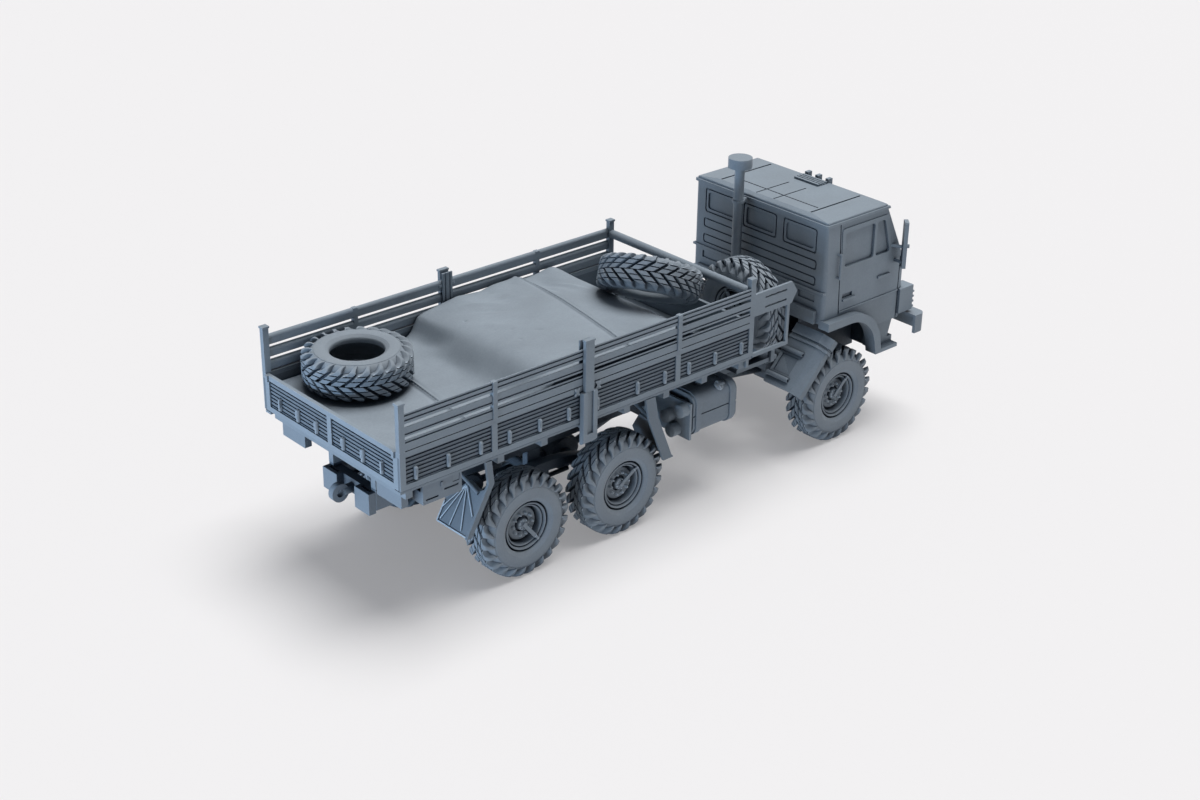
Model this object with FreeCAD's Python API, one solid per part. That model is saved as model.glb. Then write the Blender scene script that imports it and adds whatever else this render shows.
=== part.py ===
import FreeCAD, Part
import math
import os

os.makedirs("parts", exist_ok=True)
V = FreeCAD.Vector

# Scale model of a six-wheeled, cab-over cargo truck. Lengths in millimetres.
# While it is built, X = 0 lies on the rearmost axle, X points forward, Y to the
# vehicle's left and Z up from the ground. Every solid is moved at the end so that
# X = 0 is the middle of the whole length.

# Shared values
cut_over = 1.0           # how far a cutting body runs past the solid it cuts
moulding_gap = 0.2       # air left between neighbouring mouldings
half_share = 0.5
touching = 1e-7          # points nearer than this are the same

# Wheels
axle_gap_rear = 25.5     # rearmost axle to middle axle
axle_gap_front = 64.5    # middle axle to front axle
tyre_r = 10.9
tyre_w = 7.1
tyre_bore_r = 5.65
tyre_mid_y = 18.05
bead_half_w = 2.45
rim_r = 5.6
rim_wall = 0.55
lip_h = 0.4              # outer lip over the flange
flange_w = 0.6
disc_t = 0.9
disc_y = 18.3            # inner face of the wheel disc
hub_r = 2.1
hub_in_y = 16.6
hub_out_y = 20.0
hub_cap_r = 1.3
hub_cap_out_y = 20.35
hub_bore_r = 1.05
hub_bore_end_y = 19.5
stub_r = 1.0
stub_end_y = 19.3
lug_count = 11               # on each side of the tread, each standing for two real ones
lug_half_w = 1.1
lug_lean_deg = 33.0
lug_inner_y = 0.1
lug_end_share = 0.92         # so that the turned lug ends at the tyre's full width
# Heights above the bead as shares of the tyre's height, widths as shares of its half width
carcass_tread_share = 0.81
carcass_side_share = 0.56
carcass_side_half_share = 0.93
carcass_tread_half_share = 0.73
lug_root_share = 0.71
lug_shoulder_share = 0.64
lug_foot_half_share = 0.82

# Axles
beam_r = 1.5
diff_r = 3.5
diff_half_w = 2.6
diff_nose_r = 1.9
diff_nose_len = 4.4
drum_r = 3.6
drum_in_y = 13.6
drum_out_y = 16.2
knuckle_r = 2.3
knuckle_in_y = 11.9
pad_in_y = 8.4
pad_out_y = 10.6
pad_half_x = 1.3
pad_top_z = 12.6

# Ladder frame
rail_out_y = 7.7
rail_in_y = 6.2
rail_t = 0.6
rail_bottom_z = 18.2
rail_top_z = 22.6
frame_rear_x = -26.0
member_w = 2.0
member_xs_share = (0.0, 0.135, 0.27, 0.40, 0.53, 0.66, 0.985)

# Rear springs and rods
bogie_x = axle_gap_rear * half_share
leaf_t = 0.42
leaf_count = 5
leaf_half_len = 14.4
leaf_step = 2.1
leaf_rise = 2.9
leaf_end_z = 12.9
trunnion_r = 1.1
trunnion_z = 13.3
hanger_half_x = 1.6
rod_r = 0.5
rod_side_y = 5.6
radius_rod_z = 9.4
rod_gap = 0.3
rod_block_half_x = 1.4
rod_block_half_z = 1.1

# Front springs
front_leaf_half_len = 12.0
front_leaf_rise = -2.0
front_leaf_top_z = 17.6
front_leaf_count = 3
shackle_half_x = 0.9

# Driveline
case_x0 = 47.0
case_x1 = 54.0
case_half_y = 4.6
case_z0 = 12.6
shaft_r = 0.75
case_shaft_z = 15.6
shaft_end_gap = 0.2
engine_x0 = 84.2
engine_x1 = 105.0
engine_half_y = 5.4
engine_z0 = 15.2
engine_z1 = 28.2

# Load bed
bed_rear_x = -30.6
bed_front_x = 60.1
bed_half_y = 22.3
board_t = 0.8
board_z0 = 30.0
board_z1 = 37.8
board_rail_h = 1.1
board_recess = 0.3
divider_w = 1.3
divider_xs_share = (0.2407, 0.7619)   # share of the bed's length from its rear
end_divider_share = (0.5,)            # share of an end board's length
groove_count = 7
groove_h = 0.35
groove_d = 0.25
clip_w = 0.5
clip_h = 1.5
clip_d = 0.35
clip_z = 32.4
clip_xs_share = (0.039, 0.121, 0.204, 0.280, 0.362, 0.442, 0.523, 0.640, 0.722,
                 0.796, 0.878, 0.962)
end_clips_share = (0.114, 0.251, 0.396, 0.599, 0.744, 0.888)
rope_rail_in = 0.2       # strip under a side board: how far it lies behind the board's face
rope_rail_gap = 0.15
floor_t = 0.9
floor_top_z = 31.4
sill_z0 = 29.3
sill_w = 1.2
bearer_z0 = 27.6
bearer_w = 1.6
bearer_count = 9
long_bearer_half_w = 0.75

# Posts and upper rails
stake_w = 1.3
stake_t = 1.1
stake_top_z = 47.2
slat_t = 0.7
slat_z0s = (38.0, 40.8, 43.4)
slat_z1s = (40.1, 42.7, 45.5)
slat_groove_shares = ((0.72,), (0.2,), (0.25, 0.7))   # up each slat, the lowest slat first
slat_round = 0.25
slat_top_round = 0.62
cap_over = 0.15          # stake caps stand out this far round the stake
cap_h = 0.4
short_post_w = 1.0
short_post_t = 1.0
mid_post_share = 0.4917  # place along the bed, as a share of its length from its rear
mid_post_w = 3.6
mid_post_t = 1.2
mid_post_z0 = 25.4
mid_post_z1 = 36.6
mid_post_chamfer = 0.7
mid_channel_w = 1.5
mid_channel_d = 0.45
mid_post_sole = 2.2      # solid stretch under the channel
upper_post_w = 2.2
upper_post_t = 0.9
inner_post_w = 2.6
inner_post_t = 0.36
flute_w = 0.3
flute_d = 0.2
flute_shares = (0.28, 0.72)
latch_w = 0.7
latch_h = 1.3
latch_d = 0.4
latch_gap = 0.5          # from the centre post to the latches beside it
end_latch_share = 0.022
front_bar_r = 0.95
front_bar_z = 44.4

# Tarpaulin load
tarp_rear_gap = 1.1      # behind it to the tailgate's outer face
tarp_side_gap = 0.3
tarp_low_z = 35.9
tarp_high_z = 41.9
tarp_left_step_x0 = 2.6
tarp_left_step_x1 = 7.4
tarp_right_step_x0 = -1.5
tarp_right_step_x1 = 10.5
tarp_fall_run = 15.0     # length over which the top slopes down to its front edge
tarp_front_gap = 17.0    # from its top front edge to the front of the bed
tarp_front_z = 40.9
tarp_round = 2.2
tarp_fall_round = 18.0
tarp_foot_run = 0.9
tarp_edge_round = 1.6

# Loose tyres
loose_rear_run = 14.0    # from the rear of the bed
loose_rear_side = 12.1
loose_rear_z = 36.1
loose_front_gap = 12.2   # from the front of the bed
loose_front_y = -3.3
loose_front_z = 44.5
loose_front_pitch = 27.2
loose_front_roll = -18.0
loose_rest_gap = 0.2

# Spare wheel and its carrier
spare_run = 8.7          # in front of the bed
spare_y = -10.2
spare_z = 34.7
carrier_gap = 2.5        # from the bed
carrier_reach = 6.2      # in front of the spare wheel's middle
carrier_bar = 1.1
carrier_post_z1 = 36.4
side_board_len = 11.1
side_board_z0 = 38.9
side_board_z1 = 43.9
side_board_t = 0.6
side_board_chamfer = 1.6
side_slot_h = 0.4
side_slot_low_share = 0.24
side_slot_high_share = 0.68
side_slot_start_share = 0.28
side_slot_end_share = 0.86
side_post_back = 1.2     # behind the square end of the slotted board
side_post_w = 0.8
side_rail_z0 = 29.6
side_rail_h = 0.9

# Cab
cab_rear_x = 84.1
cab_roof_front_x = 103.3
cab_pillar_x = 109.0
cab_front_x = 111.4
cab_half_y = 20.1
cab_lean = 0.3           # each side's lean from the waist to the gutter
cab_gutter_z = 52.3
cab_roof_z = 53.3
cab_waist_z = 40.4
cab_nose_z = 38.9
cab_side_bottom_z = 24.3
cab_rear_bottom_z = 29.2
cab_wall = 1.1
cab_front_round = 2.4
cab_rear_round = 1.0
cab_pane_depth = 0.35
cab_pane_round = 0.6
roof_edge_h = 0.45       # upright edge over the gutter
roof_edge_round = 0.3
roof_end_run = 1.1       # slope at the roof's rear and front
roof_side_run = 5.5      # shallow slope along its sides
roof_crown_round = 9.0
arch_top_z = 30.2
arch_corner_x = 100.4
arch_front_x = 102.9
arch_bottom_z = 18.1
arch_round = 8.6
arch_lip = 1.9
arch_lip_out = 1.9       # beyond the side of the cab
arch_cut_in = 7.1        # how far inside the cab's side the arch is open
skirt_in = 0.7
skirt_bottom_z = 19.8
skirt_lean = 1.3          # its front edge leans back towards its foot
door_rear_x = 88.9
door_rear_top_x = 88.1
door_front_x = 108.7
door_groove = 0.3
door_front_groove_d = 0.6
door_sill_z = 30.6
gutter_d = 0.4
gutter_h = 0.6
side_pane_x0 = 90.1
side_pane_x1 = 105.0
side_pane_top_x0 = 89.8
side_pane_top_x1 = 102.7
side_frame_w = 1.0
side_frame_d = 0.25
side_pane_z0 = 41.4
side_pane_z1 = 49.4
side_pane_bar_x = 99.4
side_pane_bar = 0.8
rear_pane_z0 = 45.9
rear_pane_z1 = 49.8
rear_pane_in_share = 0.393   # shares of the cab's half width
rear_pane_out_share = 0.8
rear_mid_pane_share = 0.254
rear_frame_w = 0.9
rear_loop_w = 0.35           # width of the grooves round the rear frames and rows
rear_loop_d = 0.3
rear_bead_z = 36.3
rear_bead_h = 0.5
rear_bead_d = 0.35
rear_row_share = 0.86
rear_row_low_z = 37.6
rear_row_low_h = 2.2
rear_row_high_z = 41.3
rear_row_high_h = 2.3
low_pocket_in_share = 0.62
low_pocket_z0 = 33.9
low_pocket_z1 = 35.5
rear_ledge_share = 0.905
rear_ledge_top_z = 32.2
rear_ledge_d = 0.9
screen_gap = 0.6
screen_side = 2.5
screen_top_share = 0.12
screen_bottom_share = 0.92
cab_floor_t = 0.9
handle_x0 = 90.0
handle_len = 4.0
handle_h = 0.5
handle_d = 0.45
handle_z = 33.4
handle_pocket_gap = 0.15
handle_pocket_h = 1.0
handle_pocket_len = 3.2
side_lamp_x0 = 101.3
side_lamp_len = 4.0
side_lamp_z = 35.8
side_lamp_h = 0.5
swage_z = 31.0
swage_h = 0.3
swage_d = 0.2
grab_x = 87.9
grab_z0 = 39.6
grab_z1 = 44.9
grab_out = 0.75
grab_r = 0.28

# Roof fittings
hatch_x0 = 98.4
hatch_x1 = 101.6
hatch_half_y = 3.6
hatch_h = 0.5
hatch_groove_shares = (0.25, 0.5, 0.75)
hatch_groove_w = 0.3
hatch_groove_d = 0.25
roof_line_w = 0.35
roof_line_d = 0.25
roof_side_line_in = 6.3
roof_side_line_w = 0.5
roof_side_line_x0 = 85.4
roof_side_line_x1 = 101.4
roof_mid_line_y = 2.6
roof_mid_line_x1 = 95.7
roof_cross_x = 88.4
roof_cross_in = 7.1
lamp_spacing_y = 3.1
lamp_w = 0.9
lamp_len = 1.4
lamp_h = 0.9

# Intake stack
stack_gap = 2.7          # from the cab's rear wall
stack_y = 4.2
stack_r = 1.1
stack_cap_r = 2.65
stack_cap_z0 = 59.6
stack_cap_z1 = 61.8
stack_band_z = 51.4
stack_band_h = 0.7
stack_band_t = 0.3
stack_foot_z = 22.6
stack_foot_half = 1.9
stack_foot_h = 5.0

# Front end
bumper_rear_x = 112.6
bumper_front_x = 116.1
bumper_side_out = 2.9
bumper_corner = 1.6
bumper_z0 = 20.2
bumper_z1 = 24.6
bumper_wall = 0.7
bumper_lamp_in = 5.9
bumper_lamp_r = 1.7
bumper_lamp_depth = 0.5
grille_side_in = 7.7
grille_z0 = 29.0
grille_z1 = 36.8
grille_depth = 0.7
grille_bar = 0.7
grille_slats = 5
guard_side = 2.2         # from the end of the bumper
guard_w = 3.4
guard_lift = 0.7
guard_h = 6.0
guard_front_x = 113.7
guard_t = 0.45
guard_bars = 4
guard_bars_share = 0.8
mirror_x = 107.0         # middle of the plate
mirror_turn_deg = 42.0   # plate turned inwards from facing straight back
mirror_out = 2.35        # plate's middle from the side of the cab
mirror_w = 2.5
mirror_z0 = 37.7
mirror_z1 = 48.7
mirror_t = 0.9
mirror_round = 0.4
mirror_knob_r = 0.45
mirror_knob_out = 0.6
mirror_knob_share = 0.46
mirror_arm_r = 0.38
mirror_arm_zs_share = (0.1, 0.44)
step_x0 = 103.6
step_x1 = 109.1
step_in = 4.5            # inside and outside the side of the cab
step_out = 1.1
step_z0 = 17.5
step_t = 0.9

# Mudguards
guard_top_x = 84.7
guard_top_z = 27.2
guard_foot_x = 74.6
guard_foot_z = 16.3
guard_shell_t = 0.7
guard_in_y = 12.4
guard_out_y = 22.1
guard_chamfer = 1.8
guard_flange = 1.3
guard_band_len = 2.3
guard_band_t = 0.3
guard_ridge_at = 2.9
guard_ridge_w = 0.6
guard_tube_shares = (0.42, 0.86)   # down the slope
guard_tube_r = 0.55
guard_tube_bore_r = 0.28
guard_tube_end = 3.5     # from the outer edge
guard_tube_seat = 0.35
guard_panel_side = 0.8
guard_panel_d = 0.3
guard_stay_r = 0.55
flap_t = 0.6
flap_tyre_gap = 2.0      # inner edge of a flap inside the tyre's inner face
flap_flange_t = 0.6
flap_flange_back = 0.3   # flange on the wheel's side of the flap
flap_flange_front = 1.1
flap_rib_d = 0.22
flap_rib_w = 0.3
# Corners of a flap's web and ends of its ribs: share across from the outer edge,
# share down from the knee to the foot
flap_corner_shares = ((0.0, 0.08), (0.21, 0.2), (0.58, 0.13), (1.0, 0.6), (1.0, 1.0), (0.0, 1.0))
flap_apex_shares = (0.58, 0.18)
flap_rib_shares = ((0.12, 0.62), (0.27, 0.93), (0.62, 0.95), (0.92, 0.93), (0.97, 0.72))
flap_strut_shares = (0.21, 0.24)
flap_strut_r = 0.4
flap_strut_top_z = 26.8
rear_flap_top_x = -9.9
rear_flap_knee_x = -9.3
rear_flap_foot_x = -14.8
flap_knee_z = 24.4
flap_foot_z = 14.4
mid_flap_top_x = 31.8
mid_flap_knee_x = 32.8
mid_flap_foot_x = 37.1
mid_flange_back = 1.9    # its flange reaches back over the tyre
mid_flap_foot_z = 13.9

# Under the bed
tank_x0 = 44.2
tank_x1 = 56.8
tank_in_y = 11.0
tank_side = 0.9          # inside the bed's side
tank_z0 = 15.9
tank_z1 = 25.2
tank_round = 2.2
strap_w = 1.5
strap_t = 0.3
strap_xs_share = (0.11, 0.89)
tank_end_in = 0.8
tank_end_d = 0.7
tank_seam_share = 0.48
tank_seam_w = 0.3
tank_seam_d = 0.2
filler_share = 0.42
filler_r = 0.95
filler_h = 0.9
filler_y_share = 0.62
air_r = 1.45
air_dome_r = 2.5
air_x0 = 40.8
air_plate_x0 = 43.2
air_plate_x1 = 43.8
air_side = 2.3           # outermost bottle's middle in from the bed's side
air_second_in = 4.1
air_third_in = 2.4
air_top_z = 22.2
air_second_drop = 2.6
air_third_drop = 5.3
battery_x0 = 38.8
battery_x1 = 43.4
battery_in_y = 9.4
battery_side = 1.5
battery_z0 = 16.2
battery_z1 = 24.6
box_x0 = -25.2
box_x1 = -16.2
box_w = 7.2
box_side = 0.7
box_z0 = 25.0
box_plate_t = 0.8
box_latch_x = -20.6
box_latch_w = 0.6
box_latch_d = 0.25
box_latch_h = 1.0
box_slot_h = 0.35
box_slot_d = 0.3
box_slot_shares = ((0.08, 0.4, 0.28), (0.55, 0.92, 0.62))   # from, to and height
lamp_box_x0 = -28.6
lamp_box_x1 = -27.0
lamp_box_y0 = 11.8
lamp_box_y1 = 19.5
lamp_box_z0 = 24.6

# Rear end
buffer_x0 = -27.6
buffer_in_y = 2.9
buffer_out_y = 7.6
buffer_z0 = 17.6
buffer_z1 = 22.2
buffer_wall = 0.9
hook_x = -29.2
hook_z = 20.2
hook_r = 1.9
hook_hole_r = 0.85
hook_half_t = 0.7
hook_shank_r = 1.0

# Places worked out from the sizes above
middle_x = axle_gap_rear
front_x = axle_gap_rear + axle_gap_front
frame_front_x = bumper_front_x - bumper_wall
mid_post_x = bed_rear_x + (bed_front_x - bed_rear_x) * mid_post_share
tarp_rear_x = bed_rear_x + tarp_rear_gap
tarp_front_x = bed_front_x - tarp_front_gap
tarp_foot_x = tarp_front_x + tarp_foot_run
tarp_fall_x = tarp_front_x - tarp_fall_run
tarp_half_y = bed_half_y - board_t - tarp_side_gap
loose_rear_x = bed_rear_x + loose_rear_run
loose_rear_y = bed_half_y - loose_rear_side
loose_front_x = bed_front_x - loose_front_gap
spare_x = bed_front_x + spare_run
carrier_x0 = bed_front_x + carrier_gap
carrier_x1 = spare_x + carrier_reach
side_board_x1 = bed_front_x + side_board_len
side_post_x = side_board_x1 - side_post_back
cab_roof_half_y = cab_half_y - cab_lean
roof_side_line_y = cab_roof_half_y - roof_side_line_in
roof_cross_half_y = cab_roof_half_y - roof_cross_in
bumper_half_y = cab_half_y + bumper_side_out
bumper_lamp_y = bumper_half_y - bumper_lamp_in
grille_half_y = cab_half_y - grille_side_in
arch_lip_out_y = cab_half_y + arch_lip_out
arch_lip_in_y = cab_half_y - cab_wall
arch_cut_in_y = cab_half_y - arch_cut_in
screen_half_y = cab_half_y - screen_side
stack_x = cab_rear_x - stack_gap
guard_y1 = bumper_half_y - guard_side
guard_y0 = guard_y1 - guard_w
mirror_y = cab_half_y + mirror_out
step_in_y = cab_half_y - step_in
step_out_y = cab_half_y + step_out
flap_out_y = bed_half_y
flap_in_y = tyre_mid_y - tyre_w * half_share - flap_tyre_gap
tank_out_y = bed_half_y - tank_side
battery_out_y = bed_half_y - battery_side
box_out_y = bed_half_y - box_side
box_in_y = box_out_y - box_w
air_y = bed_half_y - air_side
overall_rear_x = min(hook_x - hook_r, bed_rear_x)
mid_x = (overall_rear_x + bumper_front_x) * half_share


def box(x0, x1, y0, y1, z0, z1):
    """Box between two opposite corners."""
    return Part.makeBox(x1 - x0, y1 - y0, z1 - z0, V(x0, y0, z0))


def rod(start, end, radius):
    """Round bar from one point to another."""
    run = end.sub(start)
    return Part.makeCylinder(radius, run.Length, start, run)


def rod_y(x, z, radius, y0, y1):
    """Round bar along Y."""
    return rod(V(x, y0, z), V(x, y1, z), radius)


def rod_x(y, z, radius, x0, x1):
    """Round bar along X."""
    return rod(V(x0, y, z), V(x1, y, z), radius)


def rod_z(x, y, radius, z0, z1):
    """Round bar along Z."""
    return rod(V(x, y, z0), V(x, y, z1), radius)


def outline(points, place):
    """Closed wire through (a, b) or (a, b, radius) points; place turns (a, b) into 3-D."""
    count = len(points)
    corners = []
    for i, point in enumerate(points):
        here = place(point[0], point[1])
        radius = point[2] if len(point) > 2 else 0
        before = place(*points[i - 1][:2]).sub(here).normalize()
        after = place(*points[(i + 1) % count][:2]).sub(here).normalize()
        if radius == 0:
            corners.append((here, None, here))
            continue
        half_angle = before.getAngle(after) * half_share
        back = radius / math.tan(half_angle)
        middle = before.add(after).normalize()
        reach = radius / math.sin(half_angle) - radius
        corners.append((here + before * back, here + middle * reach, here + after * back))
    edges = []
    for i, (start, middle, end) in enumerate(corners):
        if middle is not None:
            edges.append(Part.Arc(start, middle, end).toShape())
        following = corners[(i + 1) % count][0]
        if end.distanceToPoint(following) > touching:
            edges.append(Part.makeLine(end, following))
    return Part.Wire(edges)


def plate_xz(points, y0, y1):
    """Plate with an XZ outline, thick from y0 to y1."""
    wire = outline(points, lambda a, b: V(a, y0, b))
    return Part.Face(wire).extrude(V(0, y1 - y0, 0))


def plate_yz(points, x0, x1):
    """Plate with a YZ outline, thick from x0 to x1."""
    wire = outline(points, lambda a, b: V(x0, a, b))
    return Part.Face(wire).extrude(V(x1 - x0, 0, 0))


def plate_xy(points, z0, z1):
    """Plate with an XY outline, thick from z0 to z1."""
    wire = outline(points, lambda a, b: V(a, b, z0))
    return Part.Face(wire).extrude(V(0, 0, z1 - z0))


def ring_yz(y0, y1, z0, z1, width, x0, x1):
    """Rounded rectangular ring in a YZ plane, thick from x0 to x1."""
    whole = []
    for inset, past in ((0, 0), (width, cut_over)):
        low = (y0 + inset, z0 + inset)
        high = (y1 - inset, z1 - inset)
        whole.append(plate_yz([(low[0], low[1], cab_pane_round), (high[0], low[1], cab_pane_round),
                               (high[0], high[1], cab_pane_round),
                               (low[0], high[1], cab_pane_round)], x0 - past, x1 + past))
    return whole[0].cut(whole[1])


def bar_corners(start, end, width):
    """Corners of a flat bar between two points of a plane."""
    run = (end[0] - start[0], end[1] - start[1])
    length = math.hypot(*run)
    side = (-run[1] / length * width * half_share, run[0] / length * width * half_share)
    return [(start[0] - side[0], start[1] - side[1]), (end[0] - side[0], end[1] - side[1]),
            (end[0] + side[0], end[1] + side[1]), (start[0] + side[0], start[1] + side[1])]


def mirrored(shape):
    """The same shape on the other side of the vehicle."""
    return shape.mirror(V(0, 0, 0), V(0, 1, 0))


def fused(shapes):
    """One solid made of all the shapes."""
    whole = shapes[0].multiFuse(shapes[1:]) if len(shapes) > 1 else shapes[0]
    return whole.removeSplitter()


def cut(shape, tools):
    """Shape with every tool taken away."""
    for tool in tools:
        shape = shape.cut(tool)
    return shape


def spread(low, high, count):
    """Evenly spaced places, both ends included."""
    return [low + (high - low) * i / (count - 1) for i in range(count)]


def save(name, solids):
    """Write one node, moved so that X = 0 is the middle of the length."""
    whole = solids[0] if len(solids) == 1 else Part.makeCompound(solids)
    whole = whole.copy()
    whole.translate(V(-mid_x, 0, 0))
    whole.exportStep("parts/" + name + ".step")


def ring_sector(centre, inner, outer, from_deg, to_deg, depth):
    """Part of a ring in an XZ plane, thick along Y from the centre's plane."""
    def at(radius, degrees):
        angle = math.radians(degrees)
        return centre + V(radius * math.cos(angle), 0, radius * math.sin(angle))

    middle = (from_deg + to_deg) * half_share
    wire = Part.Wire([
        Part.Arc(at(inner, from_deg), at(inner, middle), at(inner, to_deg)).toShape(),
        Part.makeLine(at(inner, to_deg), at(outer, to_deg)),
        Part.Arc(at(outer, to_deg), at(outer, middle), at(outer, from_deg)).toShape(),
        Part.makeLine(at(outer, from_deg), at(inner, from_deg))])
    return Part.Face(wire).extrude(V(0, depth, 0))


def leaf_pack(centre_x, end_z, rise, half_len, count, y0, y1):
    """Bent leaves, each shorter than the one above it, all about one centre."""
    radius = (half_len ** 2 + rise ** 2) / abs(rise + rise)
    up = 1 if rise > 0 else -1
    centre = V(centre_x, y0, end_z + rise - up * radius)
    leaves = []
    for i in range(count):
        sweep = math.degrees(math.asin((half_len - leaf_step * i) / radius))
        first = radius - up * leaf_t * i
        low, high = sorted((first, first - up * leaf_t))
        leaves.append(ring_sector(centre, low, high, up * 90 - sweep, up * 90 + sweep, y1 - y0))
    return leaves


# Wheels

def ringed_solid(rings, sides):
    """Many-sided closed body about the Y axis from (radius to a flat, y) rings."""
    grow = 1 / math.cos(math.pi / sides)
    turns = [2 * math.pi * (k + half_share) / sides for k in range(sides)]
    corners = []
    for radius, y in rings:
        corners.append([V(radius * grow * math.cos(t), y, radius * grow * math.sin(t))
                        for t in turns])
    faces = []
    for ring, following in zip(corners, corners[1:] + corners[:1]):
        for k in range(sides):
            k1 = (k + 1) % sides
            faces.append(Part.Face(Part.makePolygon(
                [ring[k], following[k], following[k1], ring[k1], ring[k]])))
    return Part.Solid(Part.Shell(faces))


def tyre_solid():
    """Tyre about the Y axis, its middle at the origin: flat-sided carcass, slanting lugs.

    Each lug runs from the middle of the tread over the shoulder and slopes down to the
    sidewall; the lugs of the two sides stand half a pitch apart.
    """
    height = tyre_r - tyre_bore_r
    half_w = tyre_w * half_share
    tread_r = tyre_bore_r + height * carcass_tread_share
    side_r = tyre_bore_r + height * carcass_side_share
    side_y = half_w * carcass_side_half_share
    edge_y = half_w * carcass_tread_half_share
    carcass = ringed_solid([(tyre_bore_r, -bead_half_w), (side_r, -side_y), (tread_r, -edge_y),
                            (tread_r, edge_y), (side_r, side_y), (tyre_bore_r, bead_half_w)],
                           lug_count)
    root_r = tyre_bore_r + height * lug_root_share
    shoulder_r = tyre_bore_r + height * lug_shoulder_share
    lug = plate_yz([(lug_inner_y, root_r), (lug_inner_y, tyre_r), (edge_y, tyre_r),
                    (half_w * lug_end_share, shoulder_r),
                    (half_w * lug_foot_half_share, side_r)],
                   -lug_half_w, lug_half_w)
    lug.rotate(V(0, (lug_inner_y + edge_y) * half_share, 0), V(0, 0, 1), lug_lean_deg)
    lugs = []
    for i in range(lug_count):
        near = lug.copy()
        near.rotate(V(0, 0, 0), V(0, 1, 0), 360 / lug_count * i)
        far = mirrored(lug)
        far.rotate(V(0, 0, 0), V(0, 1, 0), 360 / lug_count * (i + half_share))
        lugs += [near, far]
    return fused([carcass] + lugs)


def rim_solid(with_bore):
    """Wheel spun about the Y axis: barrel, lip, flange, well, disc, hub and cap."""
    inner = tyre_mid_y - bead_half_w
    outer = tyre_mid_y + bead_half_w
    barrel_r = rim_r - rim_wall
    well_r = barrel_r - flange_w
    face_y = disc_y + disc_t
    points = [(0, hub_in_y), (hub_r, hub_in_y), (hub_r, disc_y), (barrel_r, disc_y),
              (barrel_r, inner), (rim_r, inner), (rim_r, outer), (barrel_r, outer),
              (barrel_r, outer - lip_h), (well_r, outer - lip_h), (well_r, face_y),
              (hub_r, face_y), (hub_r, hub_out_y), (hub_cap_r, hub_out_y),
              (hub_cap_r, hub_cap_out_y), (0, hub_cap_out_y)]
    section = Part.Face(outline(points, lambda a, b: V(a, b, 0)))
    whole = section.revolve(V(0, 0, 0), V(0, 1, 0), 360)
    if with_bore:
        whole = cut(whole, [rod_y(0, 0, hub_bore_r, hub_in_y - cut_over, hub_bore_end_y)])
    return whole


def wheels():
    """Six driven wheels, each a tyre on a rim."""
    places = (("rear", 0), ("middle", middle_x), ("front", front_x))
    for place, x in places:
        tyre = tyre_shape.copy()
        tyre.translate(V(x, tyre_mid_y, tyre_r))
        rim = rim_solid(True)
        rim.translate(V(x, 0, tyre_r))
        save("tyre_" + place + "_left", [tyre])
        save("rim_" + place + "_left", [rim])
        save("tyre_" + place + "_right", [mirrored(tyre)])
        save("rim_" + place + "_right", [mirrored(rim)])


def axle(name, x, steered):
    """Axle beam with its differential, brake drums and the stubs that carry the wheels."""
    pieces = [rod_y(x, tyre_r, beam_r, -drum_in_y, drum_in_y),
              rod_y(x, tyre_r, diff_r, -diff_half_w, diff_half_w),
              rod_x(0, tyre_r, diff_nose_r, x, x + diff_nose_len)]
    for side in (-1, 1):
        near = sorted((side * drum_in_y, side * drum_out_y))
        far = sorted((side * drum_out_y, side * stub_end_y))
        pieces.append(rod_y(x, tyre_r, drum_r, *near))
        pieces.append(rod_y(x, tyre_r, stub_r, *far))
        pads = sorted((side * pad_in_y, side * pad_out_y))
        pieces.append(box(x - pad_half_x, x + pad_half_x, *pads, tyre_r, pad_top_z))
        if steered:
            knuckle = sorted((side * knuckle_in_y, side * drum_in_y))
            pieces.append(rod_y(x, tyre_r, knuckle_r, *knuckle))
    save(name, [fused(pieces)])


# Chassis

def chassis_frame():
    """Two channel rails joined by cross members."""
    channel = [(rail_in_y, rail_bottom_z), (rail_out_y, rail_bottom_z),
               (rail_out_y, rail_top_z), (rail_in_y, rail_top_z),
               (rail_in_y, rail_top_z - rail_t), (rail_out_y - rail_t, rail_top_z - rail_t),
               (rail_out_y - rail_t, rail_bottom_z + rail_t),
               (rail_in_y, rail_bottom_z + rail_t)]
    rail = plate_yz(channel, frame_rear_x, frame_front_x)
    pieces = [rail, mirrored(rail)]
    length = frame_front_x - frame_rear_x
    for share in member_xs_share:
        x = frame_rear_x + length * share
        x1 = min(x + member_w, frame_front_x)
        pieces.append(box(x, x1, -(rail_out_y - rail_t), rail_out_y - rail_t,
                          rail_bottom_z + rail_t, rail_top_z - rail_t))
    save("chassis_frame", [fused(pieces)])


def rear_springs():
    """Bogie leaf packs on their trunnion, with hangers up to the frame."""
    pieces = [rod_y(bogie_x, trunnion_z, trunnion_r, -pad_out_y, pad_out_y)]
    for side in (-1, 1):
        y0, y1 = sorted((side * pad_in_y, side * pad_out_y))
        pieces += leaf_pack(bogie_x, leaf_end_z + leaf_t, leaf_rise, leaf_half_len,
                            leaf_count, y0, y1)
        z_top = leaf_end_z + leaf_rise - leaf_t * (leaf_count - 2)
        pieces.append(box(bogie_x - hanger_half_x, bogie_x + hanger_half_x, y0, y1,
                          trunnion_z, z_top))
        h0, h1 = sorted((side * rail_in_y, side * rail_out_y))
        pieces.append(box(bogie_x - hanger_half_x, bogie_x + hanger_half_x, h0, h1,
                          trunnion_z - trunnion_r, rail_bottom_z))
    save("rear_springs", [fused(pieces)])


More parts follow.
